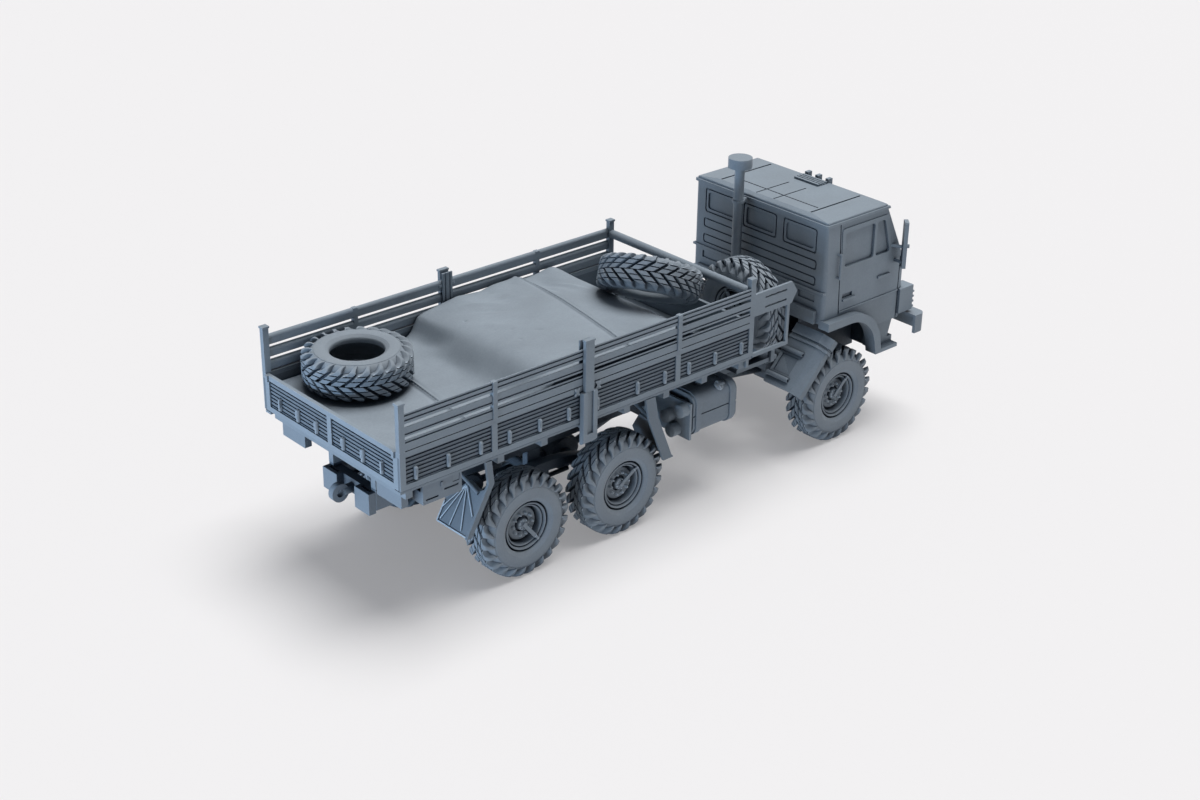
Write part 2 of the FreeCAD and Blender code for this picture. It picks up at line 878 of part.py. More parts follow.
def torque_rods():
    """Four radius rods from the bogie bracket to the two rear axles."""
    solids = []
    for side in (-1, 1):
        y = side * rod_side_y
        block = box(bogie_x - rod_block_half_x, bogie_x + rod_block_half_x,
                    y - rod_block_half_z, y + rod_block_half_z,
                    radius_rod_z - rod_block_half_z, trunnion_z - trunnion_r)
        front = rod_x(y, radius_rod_z, rod_r, bogie_x, middle_x - beam_r - rod_gap)
        back = rod_x(y, radius_rod_z, rod_r, beam_r + rod_gap, bogie_x)
        solids.append(fused([block, front, back]))
    save("torque_rods", solids)


def front_springs():
    """Leaf packs of the front axle with a shackle at each end."""
    solids = []
    for side in (-1, 1):
        y0, y1 = sorted((side * pad_in_y, side * pad_out_y))
        pieces = []
        pieces += leaf_pack(front_x, front_leaf_top_z, front_leaf_rise,
                            front_leaf_half_len, front_leaf_count, y0, y1)
        bottom = front_leaf_top_z + front_leaf_rise - leaf_t
        pieces.append(box(front_x - pad_half_x, front_x + pad_half_x, y0, y1,
                          pad_top_z + moulding_gap, bottom))
        s0, s1 = sorted((side * rail_out_y, side * pad_out_y))
        for x in (front_x - front_leaf_half_len, front_x + front_leaf_half_len):
            pieces.append(box(x - shackle_half_x, x + shackle_half_x, s0, s1,
                              front_leaf_top_z - leaf_t, rail_bottom_z + rail_t))
        solids.append(fused(pieces))
    save("front_springs", solids)


def driveline():
    """Transfer case, propeller shafts and the engine block."""
    save("transfer_case", [box(case_x0, case_x1, -case_half_y, case_half_y, case_z0,
                                rail_bottom_z + rail_t)])
    save("engine_block", [box(engine_x0, engine_x1, -engine_half_y, engine_half_y,
                              engine_z0, engine_z1)])
    nose = diff_nose_len + shaft_end_gap
    low = tyre_r
    shafts = [
        rod(V(nose, 0, low), V(middle_x - diff_r - shaft_end_gap, 0, low), shaft_r),
        rod(V(middle_x + nose, 0, low), V(case_x0 - shaft_end_gap, 0, case_shaft_z), shaft_r),
        rod(V(case_x1 + shaft_end_gap, 0, case_shaft_z),
            V(front_x - diff_r - shaft_end_gap, 0, low), shaft_r)]
    save("propeller_shafts", shafts)


# Load bed

def bed_x(share):
    """Place along the bed, as a share of its length from its rear."""
    return bed_rear_x + (bed_front_x - bed_rear_x) * share


def bearer_places():
    """Where each cross bearer's middle stands along the bed."""
    margin = board_t + bearer_w
    return spread(bed_rear_x + margin, bed_front_x - margin, bearer_count)


def bed_floor():
    """Floor plate on sills, cross bearers and two long bearers that sit on the frame."""
    in_x0 = bed_rear_x + board_t
    in_x1 = bed_front_x - board_t
    in_y = bed_half_y - board_t
    pieces = [box(in_x0, in_x1, -in_y, in_y, floor_top_z - floor_t, floor_top_z)]
    for side in (-1, 1):
        s0, s1 = sorted((side * (in_y - sill_w), side * in_y))
        pieces.append(box(in_x0, in_x1, s0, s1, sill_z0, floor_top_z - floor_t))
        r0, r1 = sorted((side * (in_y - sill_w), side * (bed_half_y - rope_rail_in)))
        pieces.append(box(bed_rear_x, bed_front_x, r0, r1, sill_z0, board_z0 - rope_rail_gap))
        pieces.append(box(bed_front_x - bearer_w, bed_front_x - board_t, r0, r1, bearer_z0,
                          sill_z0))
        mid_y = side * (rail_out_y - long_bearer_half_w)
        pieces.append(box(frame_rear_x, in_x1, mid_y - long_bearer_half_w,
                          mid_y + long_bearer_half_w, rail_top_z, bearer_z0))
    for x in bearer_places():
        pieces.append(box(x - bearer_w * half_share, x + bearer_w * half_share,
                          -in_y, in_y, bearer_z0, floor_top_z - floor_t))
    save("bed_floor", [fused(pieces)])


def panel_board(length, divider_shares, clip_shares, latch_xs):
    """Board along X from the origin, its outer face in Y = 0 facing -Y.

    Between its dividers it has recessed panels, each with a row of grooves and some clips.
    """
    plate = box(0, length, 0, board_t, board_z0, board_z1)
    low = board_z0 + board_rail_h
    high = board_z1 - board_rail_h
    pitch = (high - low) / groove_count
    ends = [divider_w * half_share]
    ends += [length * share for share in divider_shares]
    ends += [length - divider_w * half_share]
    tools = []
    for start, end in zip(ends[:-1], ends[1:]):
        x0 = start + divider_w * half_share
        x1 = end - divider_w * half_share
        tools.append(box(x0, x1, -cut_over, board_recess, low, high))
        for i in range(groove_count):
            z = low + pitch * i + (pitch - groove_h) * half_share
            tools.append(box(x0, x1, -cut_over, board_recess + groove_d, z, z + groove_h))
    pieces = [cut(plate, tools)]
    for share in clip_shares:
        x = length * share
        pieces.append(box(x - clip_w * half_share, x + clip_w * half_share, -clip_d,
                          board_t * half_share, clip_z, clip_z + clip_h))
    for x in latch_xs:
        pieces.append(box(x - latch_w * half_share, x + latch_w * half_share, -latch_d,
                          board_t * half_share, board_z1 - latch_h, board_z1))
    return fused(pieces)


def boards():
    """The four boards of the bed."""
    beside = mid_post_w * half_share + latch_gap + latch_w * half_share
    middle = mid_post_x - bed_rear_x
    right = panel_board(bed_front_x - bed_rear_x, divider_xs_share, clip_xs_share,
                        (middle - beside, middle + beside))
    right.translate(V(bed_rear_x, -bed_half_y, 0))
    save("side_board_right", [right])
    save("side_board_left", [mirrored(right)])
    half = bed_half_y - board_t
    length = half + half
    latches = (length * end_latch_share, length * (1 - end_latch_share))
    rear = panel_board(length, end_divider_share, end_clips_share, latches)
    rear.rotate(V(0, 0, 0), V(0, 0, 1), -90)
    rear.translate(V(bed_rear_x, half, 0))
    save("tailgate", [rear])
    front = panel_board(length, end_divider_share, (), ())
    front.rotate(V(0, 0, 0), V(0, 0, 1), 90)
    front.translate(V(bed_front_x, -half, 0))
    save("front_board", [front])


def upper_side():
    """Three slats on short posts above the left drop side, with a stake at each end."""
    y1 = bed_half_y
    y0 = y1 - slat_t
    pieces = []
    for z0, z1, shares in zip(slat_z0s, slat_z1s, slat_groove_shares):
        slat = plate_yz([(y0, z0, slat_round), (y1, z0), (y1, z1), (y0, z1, slat_top_round)],
                        bed_rear_x, bed_front_x)
        grooves = []
        for share in shares:
            z = z0 + (z1 - z0) * share
            grooves.append(box(bed_rear_x - cut_over, bed_front_x + cut_over, y1 - groove_d,
                               y1 + cut_over, z, z + groove_h))
        pieces.append(cut(slat, grooves))
    for share in divider_xs_share:
        x = bed_x(share)
        pieces.append(box(x - short_post_w * half_share, x + short_post_w * half_share,
                          y0, y0 + short_post_t, board_z1, slat_z1s[-1]))
    for x in (bed_rear_x, bed_front_x - stake_w):
        pieces.append(box(x, x + stake_w, y1 - stake_t, y1, board_z1, stake_top_z))
        pieces.append(box(x - cap_over, x + stake_w + cap_over, y1 - stake_t - cap_over,
                          y1 + cap_over, stake_top_z, stake_top_z + cap_h))
    return fused(pieces)


def upper_rails():
    """Slatted upper sides, the front cross bar and the centre posts."""
    left = upper_side()
    save("upper_side_left", [left])
    save("upper_side_right", [mirrored(left)])
    end_y = bed_half_y - stake_t
    x = bed_front_x - stake_w * half_share
    save("front_bar", [rod_y(x, front_bar_z, front_bar_r, -end_y, end_y)])
    solids = [centre_post(), inner_post()]
    save("centre_posts", solids + [mirrored(solid) for solid in solids])


def centre_post():
    """Left centre post: a broad channel with a chamfered foot and a narrow one above it."""
    out_y = bed_half_y + mid_post_t
    x0 = mid_post_x - mid_post_w * half_share
    lower = plate_yz([(bed_half_y, mid_post_z0), (out_y - mid_post_chamfer, mid_post_z0),
                      (out_y, mid_post_z0 + mid_post_chamfer), (out_y, mid_post_z1),
                      (bed_half_y, mid_post_z1)], x0, x0 + mid_post_w)
    u0 = mid_post_x - upper_post_w * half_share
    upper = box(u0, u0 + upper_post_w, bed_half_y, bed_half_y + upper_post_t, mid_post_z1,
                stake_top_z)
    cap = box(u0 - cap_over, u0 + upper_post_w + cap_over, bed_half_y,
              bed_half_y + upper_post_t + cap_over, stake_top_z, stake_top_z + cap_h)
    c0 = mid_post_x - mid_channel_w * half_share
    channel = box(c0, c0 + mid_channel_w, out_y - mid_channel_d, out_y + cut_over,
                  mid_post_z0 + mid_post_sole, mid_post_z1 + cut_over)
    return fused([lower.cut(channel), upper, cap])


def inner_post():
    """Fluted plate on the inner face of the left slats, behind the centre post."""
    y1 = bed_half_y - slat_t
    y0 = y1 - inner_post_t
    x0 = mid_post_x - inner_post_w * half_share
    plate = box(x0, x0 + inner_post_w, y0, y1, slat_z0s[0], stake_top_z)
    flutes = []
    for share in flute_shares:
        x = x0 + inner_post_w * share - flute_w * half_share
        flutes.append(box(x, x + flute_w, y0 - cut_over, y0 + flute_d, slat_z0s[0] - cut_over,
                          stake_top_z + cut_over))
    plate = cut(plate, flutes)
    latches = box(x0 - latch_w, x0 + inner_post_w + latch_w, y0 + flute_d, y1,
                  slat_z1s[-1] - latch_h, slat_z1s[-1] - latch_w)
    return fused([plate, latches])


# Load

def tarp():
    """Sheeted load: a low stretch, a rounded step and a high block, lofted across the bed.

    The step is steep along the left side and long along the right.
    """
    floor = floor_top_z
    wires = []
    for y, step_x0, step_x1 in ((-tarp_half_y, tarp_right_step_x0, tarp_right_step_x1),
                                (tarp_half_y, tarp_left_step_x0, tarp_left_step_x1)):
        points = [(tarp_rear_x, floor), (tarp_rear_x, tarp_low_z, tarp_edge_round),
                  (step_x0, tarp_low_z, tarp_round), (step_x1, tarp_high_z, tarp_round),
                  (tarp_fall_x, tarp_high_z, tarp_fall_round),
                  (tarp_front_x, tarp_front_z, tarp_edge_round), (tarp_foot_x, floor)]
        wires.append(outline(points, lambda a, b: V(a, y, b)))
    save("tarpaulin_load", [Part.makeLoft(wires, True, True)])


def ring_tyre():
    """Tyre lying flat about the Z axis, its middle at the origin."""
    ring = tyre_shape.copy()
    ring.rotate(V(0, 0, 0), V(1, 0, 0), 90)
    return ring


def loose_tyres():
    """One tyre flat on the sheet, one tilted against its front edge."""
    rear = ring_tyre()
    rear.translate(V(loose_rear_x, loose_rear_y,
                     loose_rear_z + tyre_w * half_share + loose_rest_gap))
    save("loose_tyre_rear", [rear])
    front = ring_tyre()
    front.rotate(V(0, 0, 0), V(0, 1, 0), loose_front_pitch)
    front.rotate(V(0, 0, 0), V(1, 0, 0), loose_front_roll)
    front.translate(V(loose_front_x, loose_front_y, loose_front_z))
    save("loose_tyre_front", [front])


def spare():
    """Upright spare wheel behind the cab and the frame that carries it."""
    tyre = tyre_shape.copy()
    tyre.rotate(V(0, 0, 0), V(0, 0, 1), 90)
    tyre.translate(V(spare_x, spare_y, spare_z))
    save("spare_tyre", [tyre])
    rim = rim_solid(False)
    rim.translate(V(0, -tyre_mid_y, 0))
    rim.rotate(V(0, 0, 0), V(0, 0, 1), 90)
    rim.translate(V(spare_x, spare_y, spare_z))
    save("spare_rim", [rim])
    left_y = spare_y + tyre_r * half_share
    right_y = spare_y - tyre_r * half_share
    back_x = spare_x + tyre_w * half_share + moulding_gap
    base_top = spare_z - tyre_r
    pieces = [box(carrier_x0, carrier_x1, right_y, rail_out_y, rail_top_z,
                  base_top - moulding_gap)]
    for y in (left_y, right_y):
        pieces.append(box(back_x, back_x + carrier_bar, y - carrier_bar * half_share,
                          y + carrier_bar * half_share, rail_top_z, carrier_post_z1))
    pieces.append(box(back_x, back_x + carrier_bar, right_y, left_y,
                      carrier_post_z1 - carrier_bar, carrier_post_z1))
    save("spare_carrier", [fused(pieces)])
    board = spare_side_board()
    save("carrier_side_board", [board])


def spare_side_board():
    """Slotted board beside the spare wheel, with its front post and bottom rail."""
    out_y = -bed_half_y
    in_y = out_y + side_board_t
    plate = plate_xz([(bed_front_x, side_board_z0), (side_board_x1, side_board_z0),
                      (side_board_x1 + side_board_chamfer,
                       side_board_z0 + (side_board_z1 - side_board_z0) * half_share),
                      (side_board_x1, side_board_z1), (bed_front_x, side_board_z1)],
                     out_y, in_y)
    length = side_board_x1 - bed_front_x
    height = side_board_z1 - side_board_z0
    tools = []
    for z in (side_board_z0 + height * side_slot_low_share,
              side_board_z0 + height * side_slot_high_share):
        tools.append(box(bed_front_x + length * side_slot_start_share,
                         bed_front_x + length * side_slot_end_share,
                         out_y - cut_over, in_y + cut_over, z, z + side_slot_h))
    plate = cut(plate, tools)
    post = box(side_post_x, side_post_x + side_post_w, out_y, in_y, side_rail_z0, side_board_z0)
    foot = box(bed_front_x, side_post_x + side_post_w, out_y, in_y,
               side_rail_z0, side_rail_z0 + side_rail_h)
    return fused([plate, post, foot])


# Cab

def cab_block(inset):
    """Cab volume, every wall moved in by inset."""
    rear = cab_rear_x + inset
    front = cab_front_x - inset
    pillar = cab_pillar_x - inset
    roof_front = cab_roof_front_x - inset
    top = cab_roof_z - inset
    gutter = cab_gutter_z - inset
    edge = gutter + roof_edge_h
    side = plate_xz([(rear, cab_rear_bottom_z), (rear, edge, roof_edge_round),
                     (rear + roof_end_run, top), (roof_front - roof_end_run, top),
                     (roof_front, edge, roof_edge_round), (roof_front, gutter),
                     (pillar, cab_waist_z), (front, cab_nose_z), (front, cab_side_bottom_z),
                     (arch_corner_x, cab_side_bottom_z),
                     (arch_corner_x, cab_rear_bottom_z)],
                    -cab_half_y, cab_half_y)
    half = cab_half_y - inset
    roof_half = cab_roof_half_y - inset
    end = plate_yz([(-half, cab_side_bottom_z), (-half, cab_waist_z), (-roof_half, gutter),
                    (-roof_half, edge, roof_edge_round),
                    (-roof_half + roof_side_run, top, roof_crown_round),
                    (roof_half - roof_side_run, top, roof_crown_round),
                    (roof_half, edge, roof_edge_round), (roof_half, gutter),
                    (half, cab_waist_z), (half, cab_side_bottom_z)],
                   rear, front)
    plan = plate_xy([(rear, -half, cab_rear_round), (front, -half, cab_front_round),
                     (front, half, cab_front_round), (rear, half, cab_rear_round)],
                    cab_side_bottom_z, top)
    return side.common(end).common(plan)


def arch_prism(grow, y0, y1):
    """Wheel arch opening, its edge moved out by grow, between two Y planes."""
    top = arch_top_z - arch_lip + grow
    return plate_xz([(cab_rear_x - cut_over, arch_bottom_z - cut_over),
                     (cab_rear_x - cut_over, top),
                     (arch_corner_x - arch_lip + grow, top, arch_round + grow),
                     (arch_front_x - arch_lip + grow, arch_bottom_z - cut_over)], y0, y1)


def pane_pockets():
    """Recesses of the side, rear and front windows."""
    tools = []
    bar0 = side_pane_bar_x
    bar1 = side_pane_bar_x + side_pane_bar
    for side in (-1, 1):
        y0, y1 = sorted((side * (cab_roof_half_y - cab_pane_depth),
                         side * (cab_half_y + cut_over)))
        tools.append(plate_xz([(side_pane_x0, side_pane_z0, cab_pane_round),
                               (bar0, side_pane_z0, cab_pane_round),
                               (bar0, side_pane_z1, cab_pane_round),
                               (side_pane_top_x0, side_pane_z1, cab_pane_round)], y0, y1))
        tools.append(plate_xz([(bar1, side_pane_z0, cab_pane_round),
                               (side_pane_x1, side_pane_z0, cab_pane_round),
                               (side_pane_top_x1, side_pane_z1, cab_pane_round),
                               (bar1, side_pane_z1, cab_pane_round)], y0, y1))
    in_y = cab_half_y * rear_pane_in_share
    out_y = cab_half_y * rear_pane_out_share
    mid_y = cab_half_y * rear_mid_pane_share - rear_frame_w
    for y0, y1, more in ((-out_y, -in_y, 0), (-mid_y, mid_y, 0),
                         (in_y, out_y, 0)):
        tools.append(plate_yz([(y0, rear_pane_z0 - more, cab_pane_round),
                               (y1, rear_pane_z0 - more, cab_pane_round),
                               (y1, rear_pane_z1 + more, cab_pane_round),
                               (y0, rear_pane_z1 + more, cab_pane_round)],
                              cab_rear_x - cut_over, cab_rear_x + cab_pane_depth))
    run_x = cab_pillar_x - cab_roof_front_x
    run_z = cab_waist_z - cab_gutter_z
    length = math.hypot(run_x, run_z)
    in_x = run_z / length * cab_pane_depth
    in_z = -run_x / length * cab_pane_depth
    top = (cab_roof_front_x + run_x * screen_top_share, cab_gutter_z + run_z * screen_top_share)
    low = (cab_roof_front_x + run_x * screen_bottom_share,
           cab_gutter_z + run_z * screen_bottom_share)
    out = cut_over / cab_pane_depth
    points = [(top[0] + in_x, top[1] + in_z), (low[0] + in_x, low[1] + in_z),
              (low[0] - in_x * out, low[1] - in_z * out),
              (top[0] - in_x * out, top[1] - in_z * out)]
    for side in (-1, 1):
        y0, y1 = sorted((side * screen_gap * half_share, side * screen_half_y))
        tools.append(plate_xz(points, y0, y1))
    return tools


def rear_wall_grooves():
    """Grooves round the outer rear windows and two long rows, and two low pockets."""
    x0 = cab_rear_x - cut_over
    x1 = cab_rear_x + rear_loop_d
    in_y = cab_half_y * rear_pane_in_share - rear_frame_w
    out_y = cab_half_y * rear_pane_out_share + rear_frame_w
    low = rear_pane_z0 - rear_frame_w
    high = rear_pane_z1 + rear_frame_w
    mid_y = cab_half_y * rear_mid_pane_share
    tools = [ring_yz(in_y, out_y, low, high, rear_loop_w, x0, x1),
             ring_yz(-mid_y, mid_y, low, high, rear_loop_w, x0, x1),
             ring_yz(-out_y, -in_y, low, high, rear_loop_w, x0, x1)]
    half = cab_half_y * rear_row_share
    for z, height in ((rear_row_low_z, rear_row_low_h), (rear_row_high_z, rear_row_high_h)):
        tools.append(ring_yz(-half, half, z, z + height, rear_loop_w, x0, x1))
    inner = cab_half_y * low_pocket_in_share
    for y0, y1 in ((inner, half), (-half, -inner)):
        tools.append(box(x0, x1, y0, y1, low_pocket_z0, low_pocket_z1))
    return tools


def roof_grooves():
    """Lines pressed into the roof."""
    z0 = cab_roof_z - roof_line_d
    z1 = cab_roof_z + cut_over
    tools = [box(roof_cross_x, roof_cross_x + roof_line_w, -roof_cross_half_y,
                 roof_cross_half_y, z0, z1)]
    for side in (-1, 1):
        y = side * roof_side_line_y
        half = roof_side_line_w * half_share
        tools.append(box(roof_side_line_x0, roof_side_line_x1, y - half, y + half, z0, z1))
        y = side * roof_mid_line_y
        half = roof_line_w * half_share
        tools.append(box(cab_rear_x + roof_end_run, roof_mid_line_x1, y - half, y + half, z0, z1))
    return tools


def side_grooves(side):
    """Door seams and the pocket over the handle on one side."""
    y0, y1 = sorted((side * (cab_roof_half_y - door_groove), side * (cab_half_y + cut_over)))
    top = cab_gutter_z - gutter_h
    tools = [plate_xz([(door_rear_x, door_sill_z), (door_rear_x + door_groove, door_sill_z),
                       (door_rear_top_x + door_groove, top), (door_rear_top_x, top)], y0, y1)]
    y0, y1 = sorted((side * (cab_half_y - door_front_groove_d), side * (cab_half_y + cut_over)))
    tools.append(box(door_front_x, door_front_x + door_groove, y0, y1,
                     cab_side_bottom_z - cut_over, cab_waist_z - cab_wall))
    y0, y1 = sorted((side * (cab_half_y - handle_d), side * (cab_half_y + cut_over)))
    z = handle_z + handle_h + handle_pocket_gap
    tools.append(box(handle_x0, handle_x0 + handle_pocket_len, y0, y1, z,
                     z + handle_pocket_h))
    return tools


def side_window_frame(side):
    """Raised frame round the two side panes, following the lean of the wall."""
    y0, y1 = sorted((side * (cab_roof_half_y - cab_wall * half_share),
                     side * (cab_half_y + cut_over)))
    w = side_frame_w
    plate = plate_xz([(side_pane_x0 - w, side_pane_z0 - w, cab_pane_round),
                      (side_pane_x1 + w, side_pane_z0 - w, cab_pane_round),
                      (side_pane_top_x1 + w, side_pane_z1 + w, cab_pane_round),
                      (side_pane_top_x0 - w, side_pane_z1 + w, cab_pane_round)], y0, y1)
    return plate.common(cab_block(-side_frame_d))


def side_details(side):
    """Wheel arch lip, lower skirt, handle, lamp, swage line and grab bar of one side."""
    y0, y1 = sorted((side * arch_lip_in_y, side * arch_lip_out_y))
    lip = arch_prism(arch_lip, y0, y1)
    room = box(cab_rear_x, arch_front_x + cut_over, y0, y1, arch_bottom_z, arch_top_z)
    pieces = [lip.common(room), side_window_frame(side)]
    w0, w1 = sorted((side * arch_lip_in_y, side * cab_half_y))
    pieces.append(box(cab_rear_x, arch_corner_x + cab_wall, w0, w1, cab_side_bottom_z,
                      cab_rear_bottom_z + cab_wall))
    s0, s1 = sorted((side * (cab_half_y - skirt_in - cab_wall), side * (cab_half_y - skirt_in)))
    pieces.append(plate_xz([(arch_corner_x, skirt_bottom_z),
                            (door_front_x - skirt_lean, skirt_bottom_z),
                            (door_front_x, cab_side_bottom_z),
                            (door_front_x, cab_side_bottom_z + cab_wall),
                            (arch_corner_x, cab_side_bottom_z + cab_wall)], s0, s1))
    for x0, length, z0, height, out in (
            (handle_x0, handle_len, handle_z, handle_h, handle_d),
            (side_lamp_x0, side_lamp_len, side_lamp_z, side_lamp_h, handle_d),
            (door_rear_x + door_groove, door_front_x - door_rear_x - door_groove, swage_z,
             swage_h, swage_d)):
        y0, y1 = sorted((side * (cab_half_y - cab_wall * half_share), side * (cab_half_y + out)))
        pieces.append(box(x0, x0 + length, y0, y1, z0, z0 + height))
    y = side * (cab_half_y + grab_out)
    pieces.append(rod_z(grab_x, y, grab_r, grab_z0 - grab_r, grab_z1 + grab_r))
    y0, y1 = sorted((y, side * (cab_roof_half_y - cab_wall * half_share)))
    for z in (grab_z0, grab_z1):
        pieces.append(rod_y(grab_x, z, grab_r, y0, y1))
    return pieces


def cab():
    """Hollow cab shell with its windows, wheel arches, door seams and pressings."""
    hollow = cab_block(cab_wall)
    top = cab_gutter_z
    gutter = cab_block(-gutter_d).common(box(cab_rear_x - gutter_d, cab_front_x + gutter_d,
                                             -cab_half_y - gutter_d, cab_half_y + gutter_d,
                                             top - gutter_h, top))
    ledge_y = cab_half_y * rear_ledge_share
    pieces = [cab_block(0), gutter,
              box(cab_rear_x - rear_bead_d, cab_rear_x + cab_wall * half_share, -cab_half_y,
                  cab_half_y, rear_bead_z, rear_bead_z + rear_bead_h),
              box(cab_rear_x - rear_ledge_d, cab_rear_x + cab_wall * half_share, -ledge_y,
                  ledge_y, cab_rear_bottom_z, rear_ledge_top_z)]
    tools = pane_pockets() + rear_wall_grooves() + roof_grooves()
    openings = []
    for side in (-1, 1):
        pieces += side_details(side)
        tools += side_grooves(side)
        y0, y1 = sorted((side * arch_cut_in_y, side * (arch_lip_out_y + cut_over)))
        openings.append(arch_prism(0, y0, y1))
    whole = cut(fused(pieces), tools + openings + [hollow])
    save("cab_shell", [whole])
    floor_half = cab_half_y - cab_wall
    floor = box(cab_rear_x + cab_wall, cab_front_x - cab_wall, -floor_half, floor_half,
                cab_rear_bottom_z, cab_rear_bottom_z + cab_floor_t)
    save("cab_floor", [floor.common(hollow)])


def roof_fittings():
    """Roof hatch, marker lamps and the intake stack behind the cab."""
    top = cab_roof_z + hatch_h
    hatch = box(hatch_x0, hatch_x1, -hatch_half_y, hatch_half_y, cab_roof_z, top)
    grooves = []
    for share in hatch_groove_shares:
        x = hatch_x0 + (hatch_x1 - hatch_x0) * share - hatch_groove_w * half_share
        grooves.append(box(x, x + hatch_groove_w, -hatch_half_y - cut_over,
                           hatch_half_y + cut_over, top - hatch_groove_d, top + cut_over))
    save("roof_hatch", [cut(hatch, grooves)])
    lamps = []
    for i in (-1, 0, 1):
        y = lamp_spacing_y * i
        lamp = box(cab_roof_front_x - lamp_len, cab_roof_front_x, y - lamp_w * half_share,
                   y + lamp_w * half_share, cab_gutter_z, cab_roof_z + lamp_h)
        lamps.append(lamp.cut(cab_block(0)))
    save("roof_lamps", lamps)
    foot = box(stack_x - stack_foot_half, stack_x + stack_foot_half,
               stack_y - stack_foot_half, rail_out_y,
               stack_foot_z, stack_foot_z + stack_foot_h)
    pipe = rod_z(stack_x, stack_y, stack_r, stack_foot_z, stack_cap_z0)
    cap = rod_z(stack_x, stack_y, stack_cap_r, stack_cap_z0, stack_cap_z1)
    band = rod_z(stack_x, stack_y, stack_r + stack_band_t, stack_band_z,
                 stack_band_z + stack_band_h)
    stay = box(stack_x, cab_rear_x - gutter_d, stack_y - stack_r * half_share,
               stack_y + stack_r * half_share, stack_band_z, stack_band_z + stack_band_h)
    save("intake_stack", [fused([foot, pipe, cap, band, stay])])


def front_end():
    """Bumper, grille, lamp guards, mirrors and steps."""
    shape = [(bumper_rear_x, -bumper_half_y), (bumper_front_x, -bumper_half_y, bumper_corner),
             (bumper_front_x, bumper_half_y, bumper_corner), (bumper_rear_x, bumper_half_y)]
    inner_y = bumper_half_y - bumper_wall
    inner = [(bumper_rear_x - cut_over, -inner_y),
             (bumper_front_x - bumper_wall, -inner_y, bumper_corner - bumper_wall),
             (bumper_front_x - bumper_wall, inner_y, bumper_corner - bumper_wall),
             (bumper_rear_x - cut_over, inner_y)]
    body = plate_xy(shape, bumper_z0, bumper_z1)
    body = cut(body, [plate_xy(inner, bumper_z0 - cut_over, bumper_z1 - bumper_wall)])
    tools = []
    for side in (-1, 1):
        tools.append(rod_x(side * bumper_lamp_y, (bumper_z0 + bumper_z1) * half_share,
                           bumper_lamp_r, bumper_front_x - bumper_lamp_depth,
                           bumper_front_x + cut_over))
    body = cut(body, tools)
    save("front_bumper", [body])
    frame = box(cab_front_x, cab_front_x + grille_depth, -grille_half_y, grille_half_y,
                grille_z0, grille_z1)
    gap = (grille_z1 - grille_z0 - grille_bar) / grille_slats
    tools = []
    for i in range(grille_slats):
        z = grille_z0 + grille_bar + gap * i
        tools.append(box(cab_front_x - cut_over, cab_front_x + grille_depth + cut_over,
                         -grille_half_y + grille_bar, grille_half_y - grille_bar,
                         z, z + gap - grille_bar))
    save("front_grille", [cut(frame, tools)])
    guards = []
    for side in (-1, 1):
        y0, y1 = sorted((side * guard_y0, side * guard_y1))
        low = bumper_z1 + guard_lift
        pieces = [box(cab_front_x - cab_front_round, guard_front_x, y0, y1, low, low + guard_h)]
        step = guard_h * guard_bars_share / guard_bars
        for i in range(guard_bars):
            z = low + guard_t + step * i
            pieces.append(box(guard_front_x, guard_front_x + guard_t, y0, y1, z, z + guard_t))
        guards.append(cut(fused(pieces), [cab_block(0)]))
    save("lamp_guards", guards)
    left = mirror()
    save("mirror_left", [left])
    save("mirror_right", [mirrored(left)])
    steps = []
    for side in (-1, 1):
        y0, y1 = sorted((side * step_in_y, side * step_out_y))
        tread = box(step_x0, step_x1, y0, y1, step_z0, step_z0 + step_t)
        w0, w1 = sorted((side * (cab_half_y - skirt_in - cab_wall), side * (cab_half_y - skirt_in)))
        riser = box(step_x0, step_x1, w0, w1, step_z0, skirt_bottom_z)
        steps.append(fused([tread, riser]))
    save("cab_steps", steps)


def mirror():
    """Left mirror: an upright plate turned inwards, two arms and a clamp knob."""
    half_w = mirror_w * half_share
    half_t = mirror_t * half_share
    plate = plate_yz([(-half_w, mirror_z0, mirror_round), (half_w, mirror_z0, mirror_round),
                      (half_w, mirror_z1, mirror_round), (-half_w, mirror_z1, mirror_round)],
                     -half_t, half_t)
    knob_z = mirror_z0 + (mirror_z1 - mirror_z0) * mirror_knob_share
    knob = rod_x(0, knob_z, mirror_knob_r, 0, half_t + mirror_knob_out)
    turned = fused([plate, knob])
    turned.rotate(V(0, 0, 0), V(0, 0, 1), mirror_turn_deg)
    turned.translate(V(mirror_x, mirror_y, 0))
    pieces = [turned]
    for share in mirror_arm_zs_share:
        z = mirror_z0 + (mirror_z1 - mirror_z0) * share
        pieces.append(rod(V(mirror_x, mirror_y, z), V(mirror_wall_x(z), cab_roof_half_y, z),
                          mirror_arm_r))
    return cut(fused(pieces), [cab_block(0), side_window_frame(1)])


def mirror_wall_x(z):
    """A place on the side of the cab just behind the screen pillar, at height z."""
    if z < cab_waist_z:
        return mirror_x
    share = (z - cab_waist_z) / (cab_gutter_z - cab_waist_z)
    edge = cab_pillar_x + (cab_roof_front_x - cab_pillar_x) * share
    return min(mirror_x, edge - cab_front_round)


# Mudguards and flaps

def slope_prism(points, start, end):
    """Prism down the mudguard's slope; its points are (y, height over the outer face)."""
    run = V(guard_foot_x - guard_top_x, 0, guard_foot_z - guard_top_z).normalize()
    out = V(run.z, 0, -run.x)
    top = V(guard_top_x, 0, guard_top_z) + run * start
    wire = outline(points, lambda a, b: top + V(0, a, 0) + out * b)
    return Part.Face(wire).extrude(run * (end - start))


